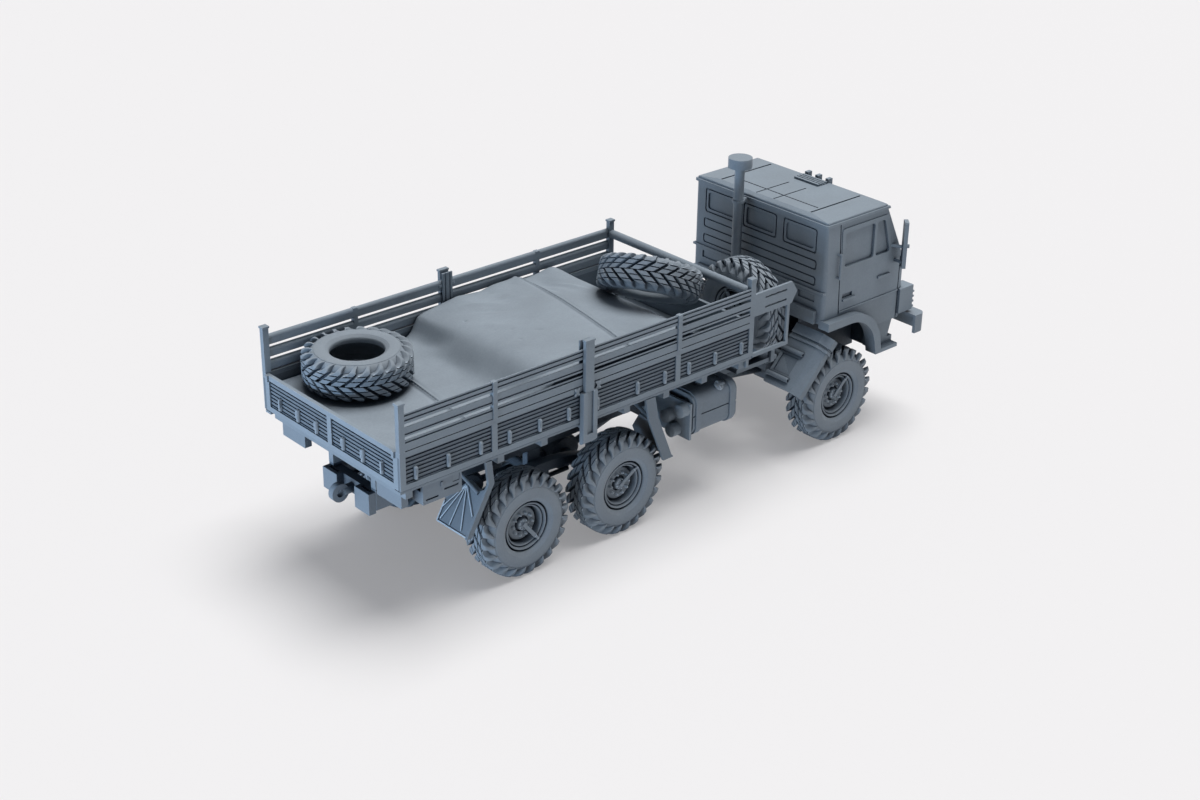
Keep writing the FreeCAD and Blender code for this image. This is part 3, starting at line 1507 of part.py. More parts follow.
def slope_tube(share, y0, y1, radius):
    """Round bar along Y that lies on the mudguard's outer face."""
    run = V(guard_foot_x - guard_top_x, 0, guard_foot_z - guard_top_z)
    out = V(run.z, 0, -run.x).normalize()
    place = V(guard_top_x, 0, guard_top_z) + run * share + out * guard_tube_seat
    return rod_y(place.x, place.z, radius, y0, y1)


def guard_edge(grow):
    """Outer line of the mudguard's section, moved out by grow."""
    bend = math.tan(math.pi / 8) * grow
    corner_y = guard_out_y - guard_chamfer
    return [(guard_in_y, grow), (corner_y + bend, grow),
            (guard_out_y + grow, -guard_chamfer + bend),
            (guard_out_y + grow, -guard_chamfer - guard_flange)]


def front_guard():
    """Rear half of the left front mudguard.

    A sloping plate with a chamfered edge, raised bands at its top, two tubes across it
    and a stay to the frame.
    """
    inner = list(reversed(guard_edge(-guard_shell_t)))
    length = math.hypot(guard_foot_x - guard_top_x, guard_foot_z - guard_top_z)
    raised = guard_edge(guard_band_t) + inner
    pieces = [slope_prism(guard_edge(0) + inner, 0, length),
              slope_prism(raised, 0, guard_band_len),
              slope_prism(raised, guard_ridge_at, guard_ridge_at + guard_ridge_w)]
    end_y = guard_out_y - guard_tube_end
    upper, lower = guard_tube_shares
    gap = guard_tube_r + guard_tube_r
    panel = slope_prism([(guard_in_y + guard_panel_side, -guard_panel_d),
                         (end_y - guard_panel_side, -guard_panel_d),
                         (end_y - guard_panel_side, cut_over),
                         (guard_in_y + guard_panel_side, cut_over)],
                        length * upper + gap, length * lower - gap)
    whole = fused(pieces).cut(panel)
    tubes = []
    for share in guard_tube_shares:
        tubes.append(slope_tube(share, guard_in_y, end_y, guard_tube_r))
    stay = slope_tube(half_share, rail_out_y, guard_in_y + guard_shell_t, guard_stay_r)
    stay.translate(V(guard_tube_seat + guard_stay_r, 0, -guard_tube_seat - guard_stay_r))
    whole = fused([whole, stay] + tubes)
    bores = []
    for share in guard_tube_shares:
        bores.append(slope_tube(share, end_y - guard_tube_r, end_y + cut_over,
                                guard_tube_bore_r))
    return cut(whole, bores)


def flap(top_x, knee_x, foot_x, foot_z, side, flange_back, flange_front):
    """Left mudflap; side is -1 where its ribbed face looks to the rear and 1 to the front.

    An outer flange stands up to the sill; the web leans away from the wheel below the
    knee, with a rim and a fan of ribs, and a strut runs up to the bed's long bearer.
    """
    def at(shares):
        return (flap_out_y - (flap_out_y - flap_in_y) * shares[0],
                flap_knee_z - (flap_knee_z - foot_z) * shares[1])

    def band(back, front, y0, y1, start):
        line = [(top_x, sill_z0), (knee_x, flap_knee_z), (foot_x, foot_z)][start:]
        near = [(x - side * back, z) for x, z in line]
        far = [(x + side * front, z) for x, z in reversed(line)]
        return plate_xz(near + far, y0, y1)

    corners = [at(shares) for shares in flap_corner_shares]
    x0 = min(top_x, foot_x) - flange_back - flange_front
    x1 = max(top_x, foot_x) + flange_back + flange_front
    web = band(0, flap_t, flap_in_y, flap_out_y, 1).common(plate_yz(corners, x0, x1))
    skin = band(0, flap_t + flap_rib_d, flap_in_y, flap_out_y, 1)
    apex = at(flap_apex_shares)
    bars = [bar_corners(apex, at(shares), flap_rib_w) for shares in flap_rib_shares]
    rim = flap_rib_w * half_share
    foot_in = (flap_in_y + rim, foot_z + rim)
    bars.append(bar_corners((flap_out_y, foot_z + rim), foot_in, flap_rib_w))
    bars.append(bar_corners(foot_in, at(flap_corner_shares[3]), flap_rib_w))
    ribs = fused([plate_yz(bar, x0, x1) for bar in bars]).common(skin)
    flange = band(flange_back, flange_front, flap_out_y - flap_flange_t, flap_out_y, 0)
    y, z = at(flap_strut_shares)
    share = (flap_knee_z - z) / (flap_knee_z - foot_z)
    x = knee_x + (foot_x - knee_x) * share + side * flap_t
    strut = rod(V(x, y, z), V(x, rail_out_y - flap_strut_r, flap_strut_top_z), flap_strut_r)
    strut = strut.cut(box(x0, x1, 0, rail_out_y, rail_top_z, bearer_z0))
    return fused([web, flange, strut] + ribs.Solids)


def mudguards():
    """Front mudguard halves and the flaps round the rear wheels."""
    left = front_guard()
    save("front_mudguards", [left, mirrored(left)])
    rear = flap(rear_flap_top_x, rear_flap_knee_x, rear_flap_foot_x, flap_foot_z, -1,
                flap_flange_back, flap_flange_front)
    save("rear_mudflaps", [rear, mirrored(rear)])
    mid = flap(mid_flap_top_x, mid_flap_knee_x, mid_flap_foot_x, mid_flap_foot_z, 1,
               mid_flange_back, flap_t)
    save("middle_mudflaps", [mid, mirrored(mid)])


# Boxes and tanks

def tank():
    """Left fuel tank with rounded corners, broad end straps, a filler and brackets."""
    body = plate_yz([(tank_in_y, tank_z0, tank_round), (tank_out_y, tank_z0, tank_round),
                     (tank_out_y, tank_z1, tank_round), (tank_in_y, tank_z1, tank_round)],
                    tank_x0, tank_x1)
    length = tank_x1 - tank_x0
    seam_z = tank_z0 + (tank_z1 - tank_z0) * tank_seam_share
    body = body.cut(box(tank_x0 - cut_over, tank_x1 + cut_over, tank_out_y - tank_seam_d,
                        tank_out_y + cut_over, seam_z, seam_z + tank_seam_w))
    filler_y = tank_in_y + (tank_out_y - tank_in_y) * filler_y_share
    pieces = [body, rod_z(tank_x0 + length * filler_share, filler_y, filler_r,
                          tank_z1 - strap_t, tank_z1 + filler_h)]
    inner = [(tank_in_y + tank_end_in, tank_z0 + tank_end_in, tank_round - tank_end_in),
             (tank_out_y - tank_end_in, tank_z0 + tank_end_in, tank_round - tank_end_in),
             (tank_out_y - tank_end_in, tank_z1 - tank_end_in, tank_round - tank_end_in),
             (tank_in_y + tank_end_in, tank_z1 - tank_end_in, tank_round - tank_end_in)]
    ends = [plate_yz(inner, tank_x0 - cut_over, tank_x0 + tank_end_d),
            plate_yz(inner, tank_x1 - tank_end_d, tank_x1 + cut_over)]
    pieces[0] = cut(body, ends)
    for share in strap_xs_share:
        x = tank_x0 + length * share
        strap = plate_yz([(tank_in_y - strap_t, tank_z0 - strap_t, tank_round + strap_t),
                          (tank_out_y + strap_t, tank_z0 - strap_t, tank_round + strap_t),
                          (tank_out_y + strap_t, tank_z1 + strap_t, tank_round + strap_t),
                          (tank_in_y - strap_t, tank_z1 + strap_t, tank_round + strap_t)],
                         x - strap_w * half_share, x + strap_w * half_share)
        pieces.append(strap)
        pieces.append(box(x - strap_w * half_share, x + strap_w * half_share, rail_out_y,
                          tank_in_y + tank_round, rail_bottom_z + rail_t,
                          rail_top_z - rail_t))
    return fused(pieces)


def under_bed():
    """Tanks, battery box, tool boxes, tail lamps, buffers and the towing eye."""
    left = tank()
    save("fuel_tanks", [left, mirrored(left)])
    plate = box(air_plate_x0, air_plate_x1, -air_y - air_r, -rail_out_y,
                air_top_z - air_third_drop - air_r, air_top_z + air_r)
    bottles = []
    for step, drop in ((0, 0), (air_second_in, air_second_drop), (air_third_in, air_third_drop)):
        y = step - air_y
        z = air_top_z - drop
        ball = Part.makeSphere(air_dome_r, V(air_x0 + air_dome_r, y, z))
        bottles.append(rod_x(y, z, air_r, air_x0, air_plate_x0).common(ball))
    save("air_tanks", [fused([plate] + bottles)])
    battery = box(battery_x0, battery_x1, battery_in_y, battery_out_y, battery_z0, battery_z1)
    arm = box(battery_x0, battery_x1, rail_out_y, battery_in_y, rail_bottom_z + rail_t,
              rail_top_z - rail_t)
    save("battery_box", [fused([battery, arm])])
    tool_box = fused([box(box_x0, box_x1, box_in_y, box_out_y, box_z0, bearer_z0),
                      box(box_x0, box_x1, box_out_y - box_plate_t, box_out_y, box_z0, sill_z0),
                      box(box_latch_x - box_latch_w, box_latch_x, box_out_y,
                          box_out_y + box_latch_d, bearer_z0, bearer_z0 + box_latch_h)])
    slots = []
    for start, end, height in box_slot_shares:
        z = box_z0 + (bearer_z0 - box_z0) * height
        slots.append(box(box_x0 + (box_x1 - box_x0) * start, box_x0 + (box_x1 - box_x0) * end,
                         box_out_y - box_slot_d, box_out_y + cut_over, z, z + box_slot_h))
    for x in bearer_places():
        slots.append(box(x - bearer_w * half_share, x + bearer_w * half_share,
                         box_out_y - box_plate_t - cut_over, box_out_y + cut_over,
                         bearer_z0, sill_z0 + cut_over))
    tool_box = cut(tool_box, slots)
    save("tool_boxes", [tool_box, mirrored(tool_box)])
    lamps = []
    for side in (-1, 1):
        y0, y1 = sorted((side * lamp_box_y0, side * lamp_box_y1))
        lamps.append(box(lamp_box_x0, lamp_box_x1, y0, y1, lamp_box_z0, bearer_z0))
    save("tail_lamps", lamps)
    buffers = []
    for side in (-1, 1):
        y0, y1 = sorted((side * buffer_in_y, side * buffer_out_y))
        body = box(buffer_x0, frame_rear_x, y0, y1, buffer_z0, buffer_z1)
        hollow = box(buffer_x0 + buffer_wall, frame_rear_x + cut_over, y0 + buffer_wall,
                     y1 - buffer_wall, buffer_z0 + buffer_wall, buffer_z1 + cut_over)
        buffers.append(body.cut(hollow))
    save("rear_buffers", buffers)
    eye = rod_y(hook_x, hook_z, hook_r, -hook_half_t, hook_half_t)
    shank = rod_x(0, hook_z, hook_shank_r, hook_x + hook_hole_r, frame_rear_x)
    eye = cut(fused([eye, shank]), [rod_y(hook_x, hook_z, hook_hole_r,
                                          -hook_half_t - cut_over, hook_half_t + cut_over)])
    save("towing_eye", [eye])


tyre_shape = tyre_solid()
wheels()
axle("rear_axle", 0, False)
axle("middle_axle", middle_x, False)
axle("front_axle", front_x, True)
chassis_frame()
rear_springs()
torque_rods()
front_springs()
driveline()
bed_floor()
boards()
upper_rails()
tarp()
loose_tyres()
spare()
cab()
roof_fittings()
front_end()
mudguards()
under_bed()
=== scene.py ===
"""Looks of a 1:56 printed-resin model of a six-wheeled, cab-over cargo truck.

Every shape below is worked out in the model's millimetres, with X = 0 on the rearmost axle,
X forward, Y to the vehicle's left and Z up, and made() moves it into the frame at the end.
"""

import bpy
import numpy as np
from mathutils import Matrix, Vector


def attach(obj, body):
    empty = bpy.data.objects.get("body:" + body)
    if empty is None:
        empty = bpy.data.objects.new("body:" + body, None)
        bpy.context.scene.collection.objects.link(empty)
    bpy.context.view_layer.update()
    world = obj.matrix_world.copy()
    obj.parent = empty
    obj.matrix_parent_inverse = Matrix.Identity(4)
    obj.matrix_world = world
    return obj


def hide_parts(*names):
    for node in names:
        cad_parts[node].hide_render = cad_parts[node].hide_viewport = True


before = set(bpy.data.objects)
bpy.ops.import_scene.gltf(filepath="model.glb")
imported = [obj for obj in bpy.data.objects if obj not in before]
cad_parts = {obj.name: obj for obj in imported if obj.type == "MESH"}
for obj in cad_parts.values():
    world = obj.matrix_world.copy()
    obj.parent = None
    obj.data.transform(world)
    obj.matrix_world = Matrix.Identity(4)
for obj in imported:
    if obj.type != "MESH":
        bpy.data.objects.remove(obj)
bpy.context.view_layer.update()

mm = 0.001
middle_x = 42.5                          # middle of the whole length
wheel_x = {"rear": 0.0, "middle": 25.5, "front": 90.0}
tyre_r = 10.9
tyre_mid_y = 18.05
tyre_root_r = 9.75                       # bottom of the grooves between the lugs
disc_y = 19.28                           # outer face of a wheel's disc
hub_cap_y = 19.83
bed_rear, bed_long, bed_half = -30.6, 90.7, 22.3
bed_deck_z = 31.45                       # just above the bed's floor, where the sheet lies
sheet_half = 21.2
rail_foot_z = 36.8                       # the sunk panels of the boards end here
loose_rear_at = (-16.6, 10.2, 39.85)
loose_front_at = (47.9, -3.3, 44.5)
spare_at = (68.8, -10.2, 34.7)


# Resin, with painted shade in hollows and painted highlights on edges

highlight_reach = 0.2                         # a painted highlight lightens a sharp edge this far in, mm
groove_shade_reach = 0.6                       # walls nearer than this make a narrow groove for painted shade, mm
highlight_open = (0.60, 0.22)                 # openness where each painted effect starts and is full
groove_shade_open = (0.72, 0.25)
hollow_shade_open = 0.66                       # painted hollow shade is full at a resin's own share deep
hollow_shade_share = 0.97                      # how far painted shade takes a deep hollow towards dark
cloud_scale, grain_scale = 95.0, 2600.0  # patches and grain per metre
cloud_open = (0.32, 0.70)                # noise values of the darkest and lightest patches
grain_share = 0.10                       # how strongly the grain shows in the tone
highlight_times = 1.75                        # how much lighter the painted edge highlight is than its face
shade_shares = (0.12, 0.15, 0.19)         # red, green and blue left in the painted shade of a deep hollow
sunk_shade_share = 0.42                        # how far painted shade takes a sunk panel towards dark
sunk_shade_fade, rail_shade_fade = 0.08, 0.05        # over this depth or height the shade sets in, mm
layer_height = 0.05                      # thickness of a print layer, mm
layer_bump, grain_bump = 0.12, 0.016     # heights of a print layer and of the grain
bump_strength = 0.35
sheen_level = 0.14                       # specular level of dry resin


def resin(name, colour, rough, grain=1.0, mottle=0.06, fine=0.75, edges=0.75, reach=6.0,
          deep=0.12, sunk=None):
    """Printed resin: a satin blue-grey, with painted shade in its hollows and a painted
    highlight along its edges.

    The tone is cloudy, by the share mottle, with print layers and fine grain in the bump.
    Fine is the share of painted shade in narrow grooves, and edges the share of painted
    highlight on sharp edges. Painted shade gathers from neighbours within reach, and is full
    where a share deep of the sky is left. Sunk names an axis and the distance from the middle
    inside which panels lie deeper and get painted shade below the rails.
    """
    mat = bpy.data.materials.new(name)
    mat.use_nodes = True
    nodes = mat.node_tree.nodes
    links = mat.node_tree.links
    shader = nodes["Principled BSDF"]
    place = nodes.new("ShaderNodeTexCoord")

    def noise(scale, detail, rough_share=0.5):
        node = nodes.new("ShaderNodeTexNoise")
        node.inputs["Scale"].default_value = scale
        node.inputs["Detail"].default_value = detail
        node.inputs["Roughness"].default_value = rough_share
        links.new(place.outputs["Object"], node.inputs["Vector"])
        return node.outputs["Fac"]

    def spread(value, low, high, to_low, to_high):
        node = nodes.new("ShaderNodeMapRange")
        for key, number in (("From Min", low), ("From Max", high), ("To Min", to_low),
                            ("To Max", to_high)):
            node.inputs[key].default_value = number
        links.new(value, node.inputs["Value"])
        return node.outputs["Result"]

    def mixed(kind, a, b, factor):
        node = nodes.new("ShaderNodeMix")
        node.data_type = "RGBA"
        node.blend_type = kind
        for key, value in (("Factor", factor), ("A", a), ("B", b)):
            if isinstance(value, (float, tuple)):
                node.inputs[key].default_value = value
            else:
                links.new(value, node.inputs[key])
        return node.outputs["Result"]

    def calculated(kind, a, b):
        node = nodes.new("ShaderNodeMath")
        node.operation = kind
        links.new(a, node.inputs[0])
        if isinstance(b, float):
            node.inputs[1].default_value = b
        else:
            links.new(b, node.inputs[1])
        return node.outputs["Value"]

    def openness(distance, inside):
        node = nodes.new("ShaderNodeAmbientOcclusion")
        node.samples = 8
        node.inside = inside
        node.only_local = inside
        node.inputs["Distance"].default_value = distance * mm
        return node.outputs["AO"]

    cloud = noise(cloud_scale, 5.0, 0.62)
    speck = noise(grain_scale, 3.0)
    low = tuple(c * (1 - mottle * 1.3) for c in colour) + (1.0,)
    high = tuple(c * (1 + mottle) for c in colour) + (1.0,)
    tone = mixed("MIX", low, high, spread(cloud, *cloud_open, 0.0, 1.0))
    tone = mixed("OVERLAY", tone, speck, grain_share)
    # painted highlight: sharp edges, found by how open the inside is near them, lighten towards a
    # paler tone
    pale = tuple(min(1.0, c * highlight_times) for c in colour) + (1.0,)
    tone = mixed("MIX", tone, pale, spread(openness(highlight_reach, True), *highlight_open, 0.0, edges))
    # painted shade: narrow grooves, then hollows closed in by near surfaces, other pieces and the
    # table, darken
    shade_colour = tuple(c * share for c, share in zip(colour, shade_shares)) + (1.0,)
    tone = mixed("MIX", tone, shade_colour,
                 spread(openness(groove_shade_reach, False), *groove_shade_open, 0.0, fine))
    tone = mixed("MIX", tone, shade_colour,
                 spread(openness(reach, False), hollow_shade_open, deep, 0.0, hollow_shade_share))
    split = nodes.new("ShaderNodeSeparateXYZ")
    links.new(place.outputs["Object"], split.inputs["Vector"])
    # painted shade on the sunk panels of the boards, below the rails
    if sunk:
        axis, limit = sunk
        away = calculated("ABSOLUTE", split.outputs[axis], 0.0)
        inside = spread(away, limit * mm, (limit - sunk_shade_fade) * mm, 0.0, sunk_shade_share)
        under_rail = spread(split.outputs["Z"], (rail_foot_z + rail_shade_fade) * mm,
                            (rail_foot_z - rail_shade_fade) * mm, 0.0, 1.0)
        tone = mixed("MIX", tone, shade_colour, calculated("MULTIPLY", inside, under_rail))
    links.new(tone, shader.inputs["Base Color"])
    links.new(spread(cloud, 0.3, 0.7, rough - 0.06, rough + 0.08), shader.inputs["Roughness"])
    steps = calculated("MULTIPLY", calculated("PINGPONG", split.outputs["Z"], layer_height * mm),
                       layer_bump / mm)
    height = calculated("ADD", steps, calculated("MULTIPLY", speck, grain_bump * grain))
    bump = nodes.new("ShaderNodeBump")
    bump.inputs["Strength"].default_value = bump_strength
    bump.inputs["Distance"].default_value = mm
    links.new(height, bump.inputs["Height"])
    links.new(bump.outputs["Normal"], shader.inputs["Normal"])
    shader.inputs["Specular IOR Level"].default_value = sheen_level
    return mat


# Copies of the one blue-grey resin: the lighter tailgate is painted light, the darker tanks, flaps,
# mudguards and chassis painted shade
body_resin = resin("resin_body", (0.240, 0.286, 0.334), 0.50, fine=0.15, edges=1.0)
bed_resin = resin("resin_bed", (0.238, 0.285, 0.334), 0.52, edges=1.0)
side_resin = resin("resin_sides", (0.238, 0.285, 0.334), 0.52, edges=1.0, sunk=("Y", 22.15))
lit_gate_resin = resin("resin_tailgate_painted_light", (0.256, 0.306, 0.358), 0.52, edges=1.0, sunk=("X", 72.95))
# a wide reach spreads painted shade far under the cab, the mudguards and the chassis
cab_resin = resin("resin_cab", (0.240, 0.288, 0.338), 0.48, fine=0.45, edges=1.0, reach=15.0,
                  deep=0.30)
# the paler details and nuts are painted highlights
highlit_detail_resin = resin("resin_detail_painted_highlight", (0.320, 0.374, 0.430), 0.50, fine=0.1, edges=0.8,
                     reach=1.5, deep=0.0)
highlit_nut_resin = resin("resin_nuts_painted_highlight", (0.420, 0.480, 0.540), 0.46, fine=0.0, edges=0.5, reach=0.6,
                  deep=0.0)
shaded_tank_resin = resin("resin_tanks_painted_shade", (0.200, 0.242, 0.288), 0.50, fine=0.5, edges=1.0)
bottle_resin = resin("resin_bottles", (0.250, 0.298, 0.346), 0.50, fine=0.4, reach=2.5, deep=0.0)
shaded_flap_resin = resin("resin_flaps_painted_shade", (0.178, 0.216, 0.258), 0.50, fine=0.3, edges=1.0)
shaded_guard_resin = resin("resin_guards_painted_shade", (0.205, 0.247, 0.292), 0.50, edges=1.0, reach=12.0, deep=0.2)
load_resin = resin("resin_load", (0.258, 0.303, 0.350), 0.56, grain=1.6, mottle=0.08)
tyre_resin = resin("resin_tyre", (0.246, 0.288, 0.333), 0.54, grain=1.3, edges=1.0)
shaded_chassis_resin = resin("resin_chassis_painted_shade", (0.214, 0.256, 0.302), 0.52, reach=16.0, deep=0.30)


# Making a piece

smooth_to_deg = 38                       # edges sharper than this stay sharp


def bevelled(piece, width, from_deg):
    """A narrow two-step bevel, width in millimetres, on edges sharper than from_deg."""
    soft = piece.modifiers.new("soft_edges", "BEVEL")
    soft.width = width * mm
    soft.segments = 2
    soft.limit_method = "ANGLE"
    soft.angle_limit = np.radians(from_deg)


def made(name, points, faces, finish, body="truck", stands_for=(), rounding=0.0):
    """A piece from points in millimetres and groups of faces; rounding is its bevel in mm."""
    mesh = bpy.data.meshes.new(name)
    placed_points = (np.asarray(points, float) - (middle_x, 0, 0)) * mm
    mesh.from_pydata(placed_points.tolist(), [], [f for group in faces for f in group.tolist()])
    mesh.validate()
    mesh.materials.append(finish)
    mesh.polygons.foreach_set("use_smooth", np.ones(len(mesh.polygons), bool))
    piece = bpy.data.objects.new(name, mesh)
    bpy.context.scene.collection.objects.link(piece)
    if rounding:
        bevelled(piece, rounding, 40)
    mesh.set_sharp_from_angle(angle=np.radians(smooth_to_deg))
    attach(piece, body)
    if stands_for:
        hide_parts(*stands_for)
    return piece


def quads(rows, cols, wrap_rows=False, wrap_cols=False):
    """Four-cornered faces of a grid of points, row by row, closed round where asked."""
    r = np.arange(rows if wrap_rows else rows - 1)[:, None]
    c = np.arange(cols if wrap_cols else cols - 1)[None, :]
    r1 = (r + 1) % rows
    c1 = (c + 1) % cols
    corners = [r * cols + c, r * cols + c1, r1 * cols + c1, r1 * cols + c]
    return np.stack(corners, -1).reshape(-1, 4)


def outward(points, faces):
    """A closed shape with its faces turned outwards, so that its signed volume is positive."""
    points = np.asarray(points, float).reshape(-1, 3)
    centred = points - points.mean(axis=0)
    volume = 0.0
    for group in faces:
        for k in range(1, group.shape[1] - 1):
            cross = np.cross(centred[group[:, k]], centred[group[:, k + 1]])
            volume += float(np.sum(centred[group[:, 0]] * cross))
    if volume < 0:
        faces = [group[:, ::-1] for group in faces]
    return points, faces


def repeated(blocks, faces):
    """The same faces over each block of points."""
    count = len(blocks)
    blocks = np.asarray(blocks, float).reshape(count, -1, 3)
    step = np.arange(count)[:, None, None] * blocks.shape[1]
    return outward(blocks, [(group[None] + step).reshape(-1, group.shape[1]) for group in faces])


def joined(parts):
    """Several (points, faces) shapes as one."""
    starts = np.cumsum([0] + [len(points) for points, _ in parts])
    faces = [group + start for (_, groups), start in zip(parts, starts) for group in groups]
    return np.concatenate([points for points, _ in parts]), faces


def spun(profile, turns):
    """Closed surface of revolution about Y: (r, y) goes to (r cos t, y, r sin t) for each turn t.

    A profile that starts and ends at r = 0 is closed by a fan of triangles at each pole, and
    any other profile is closed back to its first point.
    """
    r, y = np.asarray(profile, float).T
    poles = r[0] == 0 and r[-1] == 0
    t = (np.arange(turns) * 2 * np.pi / turns)[:, None]
    inner = slice(1, -1) if poles else slice(None)
    ring_r, ring_y = r[inner], y[inner]
    grid = np.stack([ring_r * np.cos(t), np.broadcast_to(ring_y, (turns, len(ring_y))),
                     ring_r * np.sin(t)], -1).reshape(-1, 3)
    cols = len(ring_r)
    faces = [quads(turns, cols, wrap_rows=True, wrap_cols=not poles)]
    if poles:
        first, last = turns * cols, turns * cols + 1
        here = np.arange(turns) * cols
        after = np.roll(here, -1)
        grid = np.concatenate([grid, [(0, y[0], 0), (0, y[-1], 0)]])
        faces.append(np.stack([np.full(turns, first), here, after], -1))
        faces.append(np.stack([np.full(turns, last), after + cols - 1, here + cols - 1], -1))
    return outward(grid, faces)


def carried(sections):
    """Faces of a closed bar: a ring of points carried along stations, its two ends filled."""
    stations, ring = sections.shape[-3:-1]
    faces = [quads(stations, ring, wrap_cols=True)]
    fan = np.stack([np.zeros(ring - 2, int), np.arange(1, ring - 1), np.arange(2, ring)], -1)
    faces.append(fan[:, ::-1])
    faces.append(fan + (stations - 1) * ring)
    return faces


def block(low, high):
    """Box between two opposite corners."""
    x0, y0, z0 = low
    x1, y1, z1 = high
    ring = np.array([(x0, y0), (x1, y0), (x1, y1), (x0, y1)], float)
    sections = np.stack([np.column_stack([ring, np.full(4, z)]) for z in (z0, z1)])
    return outward(sections, carried(sections))


def strip(start, end, half_w, half_t, normal):
    """Flat bar of one section, carried from start to end, its thickness along normal."""
    start, end, normal = (np.asarray(v, float) for v in (start, end, normal))
    run = end - start
    across = np.cross(normal, run / np.linalg.norm(run))
    corners = np.array([(-1, -1), (1, -1), (1, 1), (-1, 1)], float)
    section = corners[:, :1] * half_w * across + corners[:, 1:] * half_t * normal
    sections = np.stack([start + section, end + section])
    return outward(sections, carried(sections))


def other_side(shape):
    """A shape mirrored to the other side of the truck, its faces turned back outwards."""
    points, faces = shape
    return points * (1, -1, 1), [group[:, ::-1] for group in faces]


def turned(points, axis, degrees):
    """Points turned about an axis through the origin."""
    return np.asarray(points, float).reshape(-1, 3) @ np.array(
        Matrix.Rotation(np.radians(degrees), 3, axis)).T


def placed(shape, moves, where):
    """A shape's points turned by each (axis, degrees) in turn and moved to where."""
    points, faces = shape
    for axis, degrees in moves:
        points = turned(points, axis, degrees)
    return points + np.asarray(where, float), faces


# Tyres

lug_count = 24
lug_bevel = 0.09
tread_slant, wall_slant = 17.0, 7.0      # degrees a lug turns over the tread, then down the wall
shoulder_y = 2.66                        # the tread's edge
unturned_share = 0.35                    # share of the half tread at which a lug's turn is nil


def tyre_shape(lean):
    """Tyre about Y at the origin.

    The carcass is a closed (r, y) outline spun about Y. Each lug is a bar whose section is
    carried from the middle of the tread, slanting round the tyre by lean, over the shoulder
    and down the side wall, where it narrows to a fin. Its height drops at two thin grooves.
    """
    half = [(5.38, 2.35), (5.42, 2.85), (5.60, 3.10), (5.95, 3.24), (6.0, 3.30), (6.2, 3.36),
            (6.25, 3.42), (6.6, 3.49), (7.4, 3.55), (8.2, 3.50), (8.36, 3.46), (8.40, 3.36),
            (8.50, 3.34), (8.54, 3.38), (8.66, 3.33), (8.9, 3.13), (9.15, 2.88), (9.38, 2.54),
            (9.58, 2.12), (9.74, 1.6), (9.8, 1.0)]
    hollow = [(9.1, 0.9), (8.9, 2.2), (7.6, 2.75), (6.3, 2.5), (5.75, 1.9), (5.5, 1.9)]
    outline = (half + [(9.82, 0.0)] + [(r, -y) for r, y in half[::-1]]
               + [(r, -y) for r, y in hollow[::-1]] + [(9.15, 0.0)] + hollow)
    parts = [spun(outline, 5 * lug_count)]
    top_y = np.array([0.10, 0.94, 0.99, 1.13, 1.18, 1.94, 1.99, 2.13, 2.18, 2.66, 3.06, 3.34,
                      3.50, 3.55, 3.54, 3.47])
    top_r = np.array([10.9, 10.9, 10.5, 10.5, 10.9, 10.9, 10.5, 10.5, 10.88, 10.80, 10.50,
                      10.10, 9.64, 9.20, 8.86, 8.66])
    low_y = np.array([0.10, 0.94, 0.99, 1.13, 1.18, 1.94, 1.99, 2.10, 2.14, 2.20, 2.40, 2.62,
                      2.84, 3.00, 3.14, 3.22])
    low_r = np.array([tyre_root_r] * 4 + [9.7, 9.6, 9.6, 9.55, 9.5, 9.4, 9.25, 9.1, 8.95,
                      8.85, 8.74, 8.62])
    half_top = np.array([0.96] * 8 + [0.90, 0.68, 0.49, 0.39, 0.32, 0.25, 0.18, 0.10])
    half_low = half_top * 1.10 + 0.02
    down_side = np.clip((np.arange(16) - 8) / 7, 0, 1)
    over_tread = np.clip(top_y / shoulder_y, 0, 1) - unturned_share
    slant = np.radians(lean * (tread_slant * over_tread + wall_slant * down_side))
    number = np.arange(lug_count)[:, None, None]
    half_flat = half_top - lug_bevel
    bevel_r, bevel_y = top_r - lug_bevel, top_y - lug_bevel * down_side
    for side in (-1, 1):
        middle = slant[None, :, None] + (number + 0.5 * (side > 0)) * 2 * np.pi / lug_count
        spread = np.stack([-half_low / low_r, -half_top / top_r, -half_flat / top_r,
                           half_flat / top_r, half_top / top_r, half_low / low_r], -1)
        radius = np.stack([low_r, bevel_r, top_r, top_r, bevel_r, low_r], -1)
        across = np.stack([low_y, bevel_y, top_y, top_y, bevel_y, low_y], -1) * side
        angle = middle + spread[None]
        bars = np.stack(np.broadcast_arrays(radius[None] * np.cos(angle), across[None],
                                            radius[None] * np.sin(angle)), -1)
        parts.append(repeated(bars, carried(bars)))
    return joined(parts)


tyre_left = tyre_shape(1.0)
tyre_right = tyre_shape(-1.0)
started_deg = 7                          # a wheel's turn at rest, so that lugs don't line up
for place, x in wheel_x.items():
    for side, sign in (("left", 1), ("right", -1)):
        points, faces = placed(tyre_left, [("Y", started_deg * sign)],
                               (x, sign * tyre_mid_y, tyre_r))
        wheel = place + "_" + side
        made("lugged_tyre_" + wheel, points, faces, tyre_resin, body="wheel_" + wheel,
             stands_for=("tyre_" + wheel,))
points, faces = placed(tyre_right, [("X", 90)], loose_rear_at)
made("lugged_tyre_on_sheet", points, faces, tyre_resin, stands_for=("loose_tyre_rear",))
points, faces = placed(tyre_right, [("X", 90), ("Y", 27.2), ("X", -18.0)], loose_front_at)
made("lugged_tyre_leaning", points, faces, tyre_resin, stands_for=("loose_tyre_front",))
points, faces = placed(tyre_left, [("Z", 90)], spare_at)
made("lugged_tyre_spare", points, faces, tyre_resin, stands_for=("spare_tyre",))


# Wheel discs

